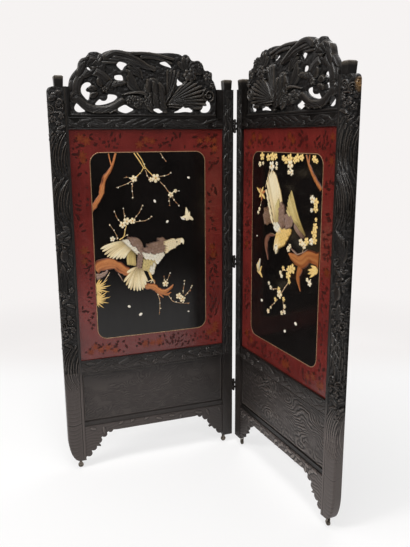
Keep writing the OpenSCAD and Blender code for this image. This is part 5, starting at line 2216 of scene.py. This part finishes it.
    def left_bough(self) -> None:
        """Lay the bough that the hawk stands on, and the pine behind it."""
        self.bough(
            ORANGE_WOOD, [(610, 876), (575, 895), (534, 892), (494, 866), (457, 832)], [44, 50, 44,
                                                                                        44, 22],
            0.8, 4)
        self.bough(BROWN_SHELL, [(610, 846), (579, 852), (559, 868)], [26, 22, 8], 1.2, 3.6)
        self.bough(BROWN_SHELL, [(516, 852), (507, 838), (499, 819)], [6, 5, 2], 0.6, 1.5)
        self.bough(ORANGE_WOOD, [(419, 806), (394, 789), (358, 774), (325, 753), (293, 763),
                                 (275, 783)], [20, 27, 26, 30, 17, 4], 0.8, 3.6)
        self.bough(ORANGE_WOOD, [(353, 764), (335, 742), (321, 728)], [14, 9, 3], 0.8, 2.4)
        self.bough(ORANGE_WOOD, [(331, 752), (305, 742), (287, 748)], [16, 11, 3], 0.8, 2.8)
        self.bough(ORANGE_WOOD, [(369, 778), (359, 800), (363, 812)], [10, 6, 2], 0.8, 2.2)
        # Yellow pine tufts and their stalk
        self.twig([(579, 818), (565, 838), (551, 860)], 8, 4, 1)
        for x, z, spread in ((618, 800, 66), (618, 750, 62)):
            for k in range(10):
                a = math.radians(116 + 15 * k)
                reach = spread * (1.05 - 0.28 * (k % 2))
                tip = (x + reach * math.cos(a), z + reach * 0.8 * math.sin(a))
                self.leaf(BOXWOOD, (x, z), tip, 7, 0.8 + 0.15 * k, 0.05, 0.5 + 0.05 * k)

    def left_hawk(self) -> None:
        """Lay the hawk: tail, lower wing, back, breast, head and legs."""
        self.feather(BONE, (433, 872), (480, 852), 12, 4.4, 0.05, 0.8)
        self.fan(BONE, [(439, 872), (431, 866), (415, 866)], [(494, 813), (471, 779), (437, 768),
                                                              (409, 775), (393, 806)], 11, 12, 4.4,
                 0.02)
        self.fan(BONE, [(490, 987), (469, 975), (457, 955)], [(585, 961), (565, 929), (532, 914),
                                                              (493, 913)], 9, 12.5, 1.0, 0.04)
        self.fan(HORN, [(465, 965), (442, 932)], [(473, 884), (443, 878)], 5, 12, 1.6, 0.03)
        self.coverts(BROWN_SHELL, [(397, 954), (394, 932), (411, 904), (419, 859), (442, 859),
                                   (431, 892), (417, 932)], 255, 17, 9, 2.2, 0.5)
        self.coverts(SHELL, [(495, 992), (465, 993), (415, 940), (419, 925), (457, 952)], 200, 16,
                     9, 2.4, 0.85)
        self.coverts(BROWN_SHELL, [(465, 994), (436, 998), (417, 989), (404, 960), (414, 937),
                                   (434, 954), (453, 977)], 215, 17, 10, 3.0, 0.5)
        self.coverts(HORN, [(409, 903), (352, 890), (355, 858), (372, 840), (386, 850), (413, 860)],
                     255, 17, 9, 2.2, 0.55)
        self.coverts(SHELL, [(355, 884), (361, 838), (382, 846), (371, 866)], 260, 14, 8, 2.8, 0.85)
        self.coverts(SHELL, [(401, 930), (313, 928), (330, 898), (341, 884), (358, 891),
                             (399, 902)], 220, 17, 10, 2.6, 0.9)
        self.coverts(
            BROWN_SHELL, [(395, 948), (380, 965), (341, 976), (322, 997), (304, 980), (303, 951),
                          (311, 927), (347, 925), (387, 933)], 195, 18, 10.5, 3.2, 0.5)
        self.coverts(BONE, [(307, 978), (269, 982), (239, 984), (230, 974), (239, 962), (263, 947),
                            (291, 932), (311, 920), (305, 948)], 190, 13, 7, 3.2, 0.75)
        self.pad(BONE, smooth_path([(249, 983), (233, 985), (225, 975), (226, 961), (230, 957),
                                    (233, 965), (243, 964), (249, 970), (249, 983)], 4)[:-1], 3.4,
                 1.6, 0.0, 0.8, 4)
        self.dot(BLACK_LACQUER, 258, 970, 2.8, base=5.6)
        self.bough(BOXWOOD, [(381, 848), (373, 822), (365, 806)], [11, 8, 6], 1.6, 2)
        for tip in ((391, 806), (378, 797), (359, 795)):
            self.bough(BONE, [(369, 812), tip], [5, 2], 3.6, 1.2)

    def right_picture(self) -> None:
        """A hawk that stoops with raised wings, under blossoming boughs."""
        self.right_boughs()
        self.right_leaves()
        self.right_hawk()

    def right_boughs(self) -> None:
        """Lay the boughs and twigs with their blossoms."""
        self.bough(
            ORANGE_WOOD, [(511, 1346), (533, 1302), (570, 1264), (609, 1230)], [8, 15, 20, 18], 0.6,
            3.2, 0.1)
        self.bough(ORANGE_WOOD, [(532, 1346), (528, 1314)], [5, 8], 0.5, 2)
        self.bough(
            ORANGE_WOOD, [(609, 982), (548, 984), (497, 958), (452, 964), (418, 972)], [52, 50, 52,
                                                                                        42, 12],
            0.8, 4.2, 0.1)
        self.bough(ORANGE_WOOD, [(496, 934), (479, 893), (500, 845)], [32, 27, 4], 0.8, 3.4, 0.1)
        self.bough(
            BROWN_SHELL, [(430, 996), (452, 988), (472, 981), (502, 990), (538, 1009)], [5, 9, 7, 5,
                                                                                         3], 3.2,
            1.6)
        self.bough(ROSEWOOD, [(312, 1028), (268, 1021), (246, 984), (262, 921)], [4, 20, 32, 5],
                   0.8, 3.2)
        self.twig([(314, 1031), (274, 1032), (244, 1014)], 3, 1.4, 0)
        for points, w0, w1, buds in RIGHT_TWIGS:
            self.twig(points, w0, w1, buds)
        for x, z, r in YELLOW_BLOSSOMS:
            self.blossom(BOXWOOD, x, z, r, 1.0, 1.7 * x + z)
        for x, z, r in WHITE_BLOSSOMS:
            self.blossom(BONE if (x + z) % 3 else SHELL, x, z, r, 1.4, x + z)
        for x, z, r, angle in RIGHT_PETALS:
            self.dot(SHELL, x, z, 0.75 * r, 0.85, 1.4, angle)

    def right_leaves(self) -> None:
        """Lay a maple leaf, yellow leaves and the small bird."""
        for k, tip in enumerate([(163, 1207), (188, 1207), (215, 1212), (234, 1196),
                                 (231, 1164), (204, 1153), (185, 1168)]):
            self.leaf(ORANGE_WOOD if k % 2 else BOXWOOD, (203, 1184), tip, 14, 1.2 + 0.1 * k, 0.03,
                      0.9)
        for k, tip in enumerate([(542, 920), (554, 908), (572, 920), (542, 935), (592, 926),
                                 (562, 955)]):
            self.leaf(BOXWOOD, (599, 952), tip, 15, 1.2 + 0.15 * k, 0.06, 0.7)
        # The small bird
        self.leaf(BOXWOOD, (175, 860), (220, 838), 17, 1.4, 0.1, 0.95)
        for k in range(4):
            self.feather(
                BOXWOOD if k % 2 else SHELL, (194 - 3 * k, 858), (199 - 8 * k, 916 - 9 * k), 9,
                1.6 + 0.2 * k, 0.06, 0.9)
            self.feather(BOXWOOD, (196, 860), (213 - 2 * k, 886 - 7 * k), 7, 1.5, 0.05, 0.8)

    def right_hawk(self) -> None:
        """Lay the hawk: under-wing, long wing, far wing, back, body, head."""
        self.coverts(BROWN_SHELL, [(222, 1122), (244, 1136), (272, 1139), (282, 1100), (278, 1075),
                                   (231, 1067), (220, 1094)], 200, 19, 11, 0.4, 0.1)
        self.fan(
            BONE, [(364, 1120), (338, 1078), (320, 1048)], [(328, 1226), (306, 1268), (282, 1280),
                                                            (259, 1268), (242, 1240)], 10, 18, 1.0,
            -0.03)
        for k in range(5):
            start = (312 - 10 * k, 1066 + 25 * k)
            self.feather(BONE, start, (start[0] - 34, start[1] + 38), 13, 2.6, 0.1, 0.85)
        self.fan(HORN, [(334, 1066), (348, 1100)], [(315, 1150), (334, 1176)], 4, 13, 3.0, 0.02)
        self.fan(
            HORN, [(518, 1056), (497, 1062), (472, 1090)], [(420, 1214), (403, 1186), (391, 1138)],
            8, 14, 1.2, 0.05)
        self.fan(BROWN_SHELL, [(520, 1048), (502, 1046)], [(444, 1098), (446, 1082)], 3, 13, 2.4,
                 0.03)
        self.coverts(BROWN_SHELL, [(337, 1150), (357, 1164), (382, 1142), (379, 1088), (368, 1066),
                                   (356, 1075), (334, 1100)], 120, 19, 11, 3.0, 0.5)
        self.coverts(BROWN_SHELL, [(384, 1124), (418, 1118), (442, 1100), (430, 1076), (396, 1066),
                                   (381, 1088)], 45, 18, 11, 2.8, 0.65)
        self.coverts(SHELL, [(304, 1076), (332, 1086), (356, 1078), (348, 1050), (326, 1044),
                             (312, 1054)], 130, 16, 10, 3.0, 0.9)
        self.coverts(
            BOXWOOD, [(323, 1038), (362, 1072), (396, 1073), (433, 1067), (413, 1032), (385, 1004),
                      (346, 982), (320, 990), (318, 1020)], 50, 18, 10, 2.8, 0.6)
        self.coverts(BONE, [(366, 1004), (340, 980), (328, 972), (313, 992), (318, 1020),
                            (344, 1028)], 55, 13, 8, 3.6, 0.95)
        self.pad(BONE, smooth_path([(346, 990), (338, 972), (329, 960), (323, 957), (322, 965),
                                    (316, 974), (312, 988), (318, 1002), (334, 1004), (346, 990)],
                                   4)[:-1], 4.6, 1.6, 0.0, 1.0, 4)
        self.dot(BLACK_LACQUER, 328, 990, 3.2, base=6.0)

    def build(self) -> None:
        """Lay the picture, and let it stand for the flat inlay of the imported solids."""
        self.gilt_line()
        self.lacquer_corners()
        self.place.pick(self.left_picture, self.right_picture)()
        flat = {"bone": ["bone_inlay"], "inlay_wood": ["wood_inlay"]}
        for finish, solid in self.laid.items():
            self.finish_piece(solid, f"inlay_{finish.name}", finish, *flat.get(finish.slot, []))


@dataclass
class PaintedLeaves(Inlay):
    """Maple leaves and fallen leaves painted on the red border, with the brush's thickness."""

    margin: float = -100.0
    paint: float = 0.15
    all_leaves: int = 240

    def painted(self, finish: Finish, outline: Array, tone: float) -> None:
        """Paint one flat shape."""
        self.pad(finish, outline, self.paint, 0.05, 0.0, tone, 1)

    def maple(self, finish: Finish, x: float, z: float, r: float, turn: float,
              tone: float, points: int = 7) -> None:
        """Paint a leaf of several points.

        Args:
            finish: its material.
            x: its middle.
            z: its middle.
            r: its radius.
            turn: how far it is turned, in degrees.
            tone: how pale it is.
            points: how many points it has.
        """
        a = np.linspace(0, 2 * np.pi, 6 * points + 1)[:-1]
        lobe = np.abs(np.cos(points / 2 * a))
        reach = r * (0.4 + 0.6 * lobe ** 1.4) * (0.8 + 0.2 * np.cos(a))
        b = a + math.radians(turn)
        self.painted(finish, np.stack([x + reach * np.cos(b), z + reach * np.sin(b)], axis=1), tone)

    def sliver(self, finish: Finish, x: float, z: float, r: float, turn: float,
               tone: float) -> None:
        """Paint a narrow leaf with two pointed ends.

        Args:
            finish: its material.
            x: its middle.
            z: its middle.
            r: its half length.
            turn: the way that it lies, in degrees.
            tone: how pale it is.
        """
        a = np.linspace(0, 2 * np.pi, 19)[:-1]
        along, across = r * np.cos(a), 0.42 * r * np.sin(a) * np.abs(np.sin(a)) ** 0.5
        c, s = math.cos(math.radians(turn)), math.sin(math.radians(turn))
        self.painted(
            finish, np.stack([x + c * along - s * across, z + s * along + c * across], axis=1),
            tone)

    def build(self) -> None:
        """Paint clusters of red-gold maple leaves, and dark leaves all over the border."""
        s = SIZES
        rng = np.random.default_rng(self.place.pick(7, 19))
        x0, x1 = s.hinge_post_w + 8, s.opening_end - 8
        z0, z1 = s.mid_rail_top + 8, s.top_rail_z - 8
        hole = (s.picture_x - 6, s.picture_x + s.picture_w + 6, s.picture_z - 6,
                s.picture_z + s.picture_h + 6)
        drawn: Points = []
        # Cluster: its place, how many leaves, how bright
        clusters = [(x1 - 34, z1 - 34, 2, 0.7), (x1 - 60, z1 - 110, 2, 0.5),
                    (400, z1 - 34, 3, 0.45), (x0 + 50, z1 - 34, 4, 0.8),
                    (x1 - 34, z0 + 30, 3, 1.0), (x1 - 90, z0 + 44, 3, 1.0),
                    (400, z0 + 36, 3, 0.9), (x0 + 50, z0 + 60, 3, 0.6),
                    (x0 + 26, 900, 2, 0.3), (x1 - 26, 960, 2, 0.35)]
        # The right border has one leaf less in each, and paler
        fewer, bright = self.place.pick((0, 1.0), (1, 0.45))
        for cx, cz, number, tone in clusters:
            number -= fewer
            for _ in range(60):
                x, z = cx + rng.normal(0, 26), cz + rng.normal(0, 22)
                r = rng.uniform(20, 28)
                if number and self.clear(x, z, r, (x0, x1, z0, z1), hole) and self.apart(
                        drawn, x, z, 16):
                    self.maple(PAINTED_GOLD, x, z, r, rng.uniform(0, 360),
                               bright * tone * rng.uniform(0.3, 0.7))
                    drawn.append((x, z))
                    number -= 1
        # Dark leaves hang in little clumps of two to five
        while len(drawn) < self.all_leaves:
            cx, cz = rng.uniform(x0, x1), rng.uniform(z0, z1)
            for _ in range(rng.integers(2, 9)):
                x, z = cx + rng.normal(0, 17), cz + rng.normal(0, 17)
                r = rng.uniform(6, 11.5)
                if self.clear(x, z, r, (x0, x1, z0, z1), hole) and self.apart(drawn, x, z, 5):
                    turn, tone = rng.uniform(0, 360), rng.uniform(0.2, 1.0)
                    if rng.random() < 0.4:
                        self.sliver(PAINTED_DARK, x, z, 1.2 * r, turn, tone)
                    else:
                        self.maple(PAINTED_DARK, x, z, 1.1 * r, turn, tone, 5)
                    drawn.append((x, z))
        for finish, solid in self.laid.items():
            self.finish_piece(solid, f"border_{finish.name}", finish)

    @staticmethod
    def clear(x: float, z: float, r: float, border: tuple[float, ...],
              hole: tuple[float, ...]) -> bool:
        """Tell whether a leaf of that radius lies on the border and off the picture.

        Args:
            x: its middle.
            z: its middle.
            r: its radius.
            border: the border's edges.
            hole: the picture's edges.

        Returns:
            Whether it does.
        """
        within = border[0] + r < x < border[1] - r and border[2] + r < z < border[3] - r
        off = x + r < hole[0] or x - r > hole[1] or z + r < hole[2] or z - r > hole[3]
        return within and off

    @staticmethod
    def apart(drawn: Points, x: float, z: float, gap: float) -> bool:
        """Tell whether a place is far enough from what is painted already."""
        return all(math.hypot(x - a, z - b) > gap + 6 for a, b in drawn)


@dataclass
class PlainWork:
    """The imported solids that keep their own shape: they get finishes and softened edges."""

    frame: dict

    def dress(self, name: str, finish: Finish, soften_mm: float = 0.0) -> None:
        """Give a node its finish and, where it is square, a small rounded arris.

        Args:
            name: the node.
            finish: its finish.
            soften_mm: the width of its arris, or 0 for none.
        """
        node = self.frame["nodes"][name]
        if not node.data.materials:
            node.data.materials.append(finish.material())
        for i in range(len(node.material_slots)):
            node.material_slots[i].material = finish.material()
        if soften_mm:
            bevel = node.modifiers.new("softened", "BEVEL")
            bevel.width = soften_mm * MM
            bevel.segments = 2
            bevel.limit_method = "ANGLE"
            bevel.angle_limit = math.radians(50)

    def build(self) -> None:
        """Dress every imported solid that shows."""
        for side in Side:
            ledge = STEP_EBONY if side is Side.LEFT else SHADED_LEDGE_EBONY
            for name, finish, soft in (
                    ("hinge_post", PLAIN_EBONY, 1.0), ("top_rail", RAIL_EBONY, 0.0),
                    ("mid_rail", RAIL_EBONY, 0.0), ("bottom_rail", ledge, 1.6),
                    ("lower_panel", RAIL_EBONY, 0.0), ("border_board", RED_LACQUER, 0.0),
                    ("picture_panel", BLACK_LACQUER, 0.0), ("gold_line", GOLD_LINE, 0.0),
                    ("back_board", BACK_LACQUER, 0.0), ("crest_uprights", PLAIN_EBONY, 1.0),
                    ("outer_finial", FINIAL_EBONY, 1.6), ("hinge_finial", FINIAL_EBONY, 1.6),
                    ("hinge_plates", IRON, 0.0), ("hinge_screws", IRON, 0.0),
                    ("bone_inlay", BONE, 0.0), ("wood_inlay", ORANGE_WOOD, 0.0),
                    ("caster_plates", BRASS, 0.3)):
                self.dress(f"{side.word}_{name}", finish, soft)
            for where in ("outer", "inner"):
                self.dress(f"{side.word}_{where}_fork", BRASS, 0.3)
                self.dress(f"{side.word}_{where}_axle", IRON)
                self.dress(f"{side.word}_{where}_wheel", BRASS)
        self.dress("hinge_pins", IRON, 0.3)


@dataclass
class Studio:
    """A pale floor that runs out to white, soft lamps and the photograph's camera."""

    lens_mm: float = 39.61
    sensor_mm: float = 36.0
    sight: float = 100.0
    stand: Triple = (0.8897, -2.2326, 1.4222)
    yaw: float = 22.61
    pitch: float = 12.87
    roll: float = -0.34
    floor_half: float = 30.0
    room_level: float = 0.1
    floor_glow: float = 0.62
    world_level: float = 0.45
    paper: str = "#f3f1f0"
    ground: str = "#4c4a48"
    sweep: str = "#f6f3f2"

    @staticmethod
    def link(name: str, data: bpy.types.ID) -> bpy.types.Object:
        """Put a camera, a lamp or a mesh into the scene.

        Args:
            name: its name.
            data: what it is made of.

        Returns:
            The new object.
        """
        made = bpy.data.objects.new(name, data)
        bpy.context.scene.collection.objects.link(made)
        return made

    def camera(self) -> None:
        """Set up the camera."""
        data = bpy.data.cameras.new("camera")
        data.lens = self.lens_mm
        data.sensor_width = self.sensor_mm
        data.clip_end = self.sight
        made = self.link("camera", data)
        turn = (Matrix.Rotation(math.radians(self.yaw), 4, "Z")
                @ Matrix.Rotation(math.radians(90 - self.pitch), 4, "X")
                @ Matrix.Rotation(math.radians(self.roll), 4, "Z"))
        made.matrix_world = Matrix.Translation(self.stand) @ turn
        bpy.context.scene.camera = made

    def floor(self) -> None:
        """Lay the floor: matt and pale round the screen, plain white further out."""
        h = self.floor_half
        mesh = bpy.data.meshes.new("floor")
        mesh.from_pydata([(-h, -h, 0), (h, -h, 0), (h, h, 0), (-h, h, 0)], [], [(0, 1, 2, 3)])
        made = self.link("floor", mesh)
        material = bpy.data.materials.new("floor_white_matt")
        nodes = Nodes.of(material)
        where = nodes.add("TexCoord", out="Object")
        far = nodes.add("VectorMath", (where,), "Value", operation="LENGTH")
        edge = nodes.add("MapRange", (far, 0.9, 3.4), **EASED)
        glow = nodes.add("MapRange", (edge, 0.0, 1.0, self.floor_glow))
        share = nodes.add("Math", (glow, nodes.add("LightPath", out="Is Camera Ray")), **TIMES)
        # Past the white paper the room's own floor is darker, as the lacquer's reflections show
        ground = nodes.add("Mix", {0: nodes.add("MapRange", (far, 2.0, 3.6)),
                                   6: linear(self.paper), 7: linear(self.ground)}, **BLEND)
        # The sweep starts about 1.1 m behind the screen and is a little greyer than the floor
        depth = nodes.add(
            "VectorMath", (where, (-0.384, 0.923, 0.0)), "Value", operation="DOT_PRODUCT")
        sweep = nodes.add("Math", (nodes.add("MapRange", (depth, 0.9, 1.5), **EASED),
                                   nodes.add("MapRange", (far, 2.0, 4.5), **EASED)), **LARGER)
        tint = nodes.add("Mix", {0: sweep, 6: (1, 1, 1, 1), 7: linear(self.sweep)}, **BLEND)
        nodes.add("OutputMaterial", (nodes.add("MixShader", (
            share, nodes.add("BsdfDiffuse", (ground,)), nodes.add("Emission", (tint, 1.0)))),))
        mesh.materials.append(material)

    def lamp(self, name: str, place: Triple, size: float, watts: float,
             aim: Triple = (0.0, 0.0, 0.9)) -> None:
        """Hang one soft square lamp that faces a point.

        Args:
            name: its name.
            place: where it hangs, in metres.
            size: the length of its side, in metres.
            watts: its power.
            aim: the point that it faces.
        """
        data = bpy.data.lights.new(name, "AREA")
        data.shape = "SQUARE"
        data.size = size
        data.energy = watts
        made = self.link(name, data)
        made.location = place
        back = np.asarray(place) - np.asarray(aim)
        spin = math.atan2(back[0], -back[1])
        tilt = math.atan2(math.hypot(back[0], back[1]), back[2])
        made.rotation_euler = (tilt, 0, spin)

    def light(self) -> None:
        """Set the world and the lamps."""
        world = bpy.data.worlds.new("studio")
        bpy.context.scene.world = world
        nodes = Nodes.of(world)
        rays = nodes.add("LightPath").node.outputs
        # The sweep behind the screen is white, and the room in front of it is dimmer
        split = nodes.add("SeparateXYZ", (nodes.add("TexCoord", out="Generated"),), "Y")
        room = nodes.add("MapRange", (split, -0.3, 0.6, self.room_level, 1.0))
        level = nodes.add("Math", (room, rays["Is Camera Ray"]), **LARGER)
        # Gloss and glass show it too, and all other rays get the plain level
        seen = nodes.add("Math", (rays["Is Camera Ray"], rays["Is Glossy Ray"]), **LARGER)
        seen = nodes.add("Math", (seen, rays["Is Transmission Ray"]), **LARGER)
        lit = nodes.add("Background", ((1, 1, 1, 1), self.world_level))
        shown = nodes.add("Background", (linear(self.sweep), level))
        nodes.add("OutputWorld", (nodes.add("MixShader", (seen, lit, shown)),))
        for name, place, size, watts in (("key", (-1.7, -2.6, 3.6), 0.9, 75),
                                         ("fill", (2.3, -2.8, 3.9), 1.2, 45),
                                         ("top", (0.0, -0.9, 4.2), 1.2, 45),
                                         ("back", (0.6, 3.2, 3.0), 2.4, 36)):
            self.lamp(name, place, size, watts)

    def build(self) -> None:
        """Set up camera, floor and light."""
        bpy.context.scene.view_settings.view_transform = "Standard"
        self.camera()
        self.floor()
        self.light()


def main() -> None:
    """Build the screen's pieces in order and report each."""
    logging.basicConfig(level=logging.INFO, format="%(message)s")
    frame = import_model()
    Studio().build()
    PlainWork(frame).build()
    for side in Side:
        place = LeafPlace(side)
        Carcass(place, frame).build()
        Crest(place, frame).build()
        Inlay(place, frame).build()
        PaintedLeaves(place, frame).build()


if __name__ == "__main__":
    main()
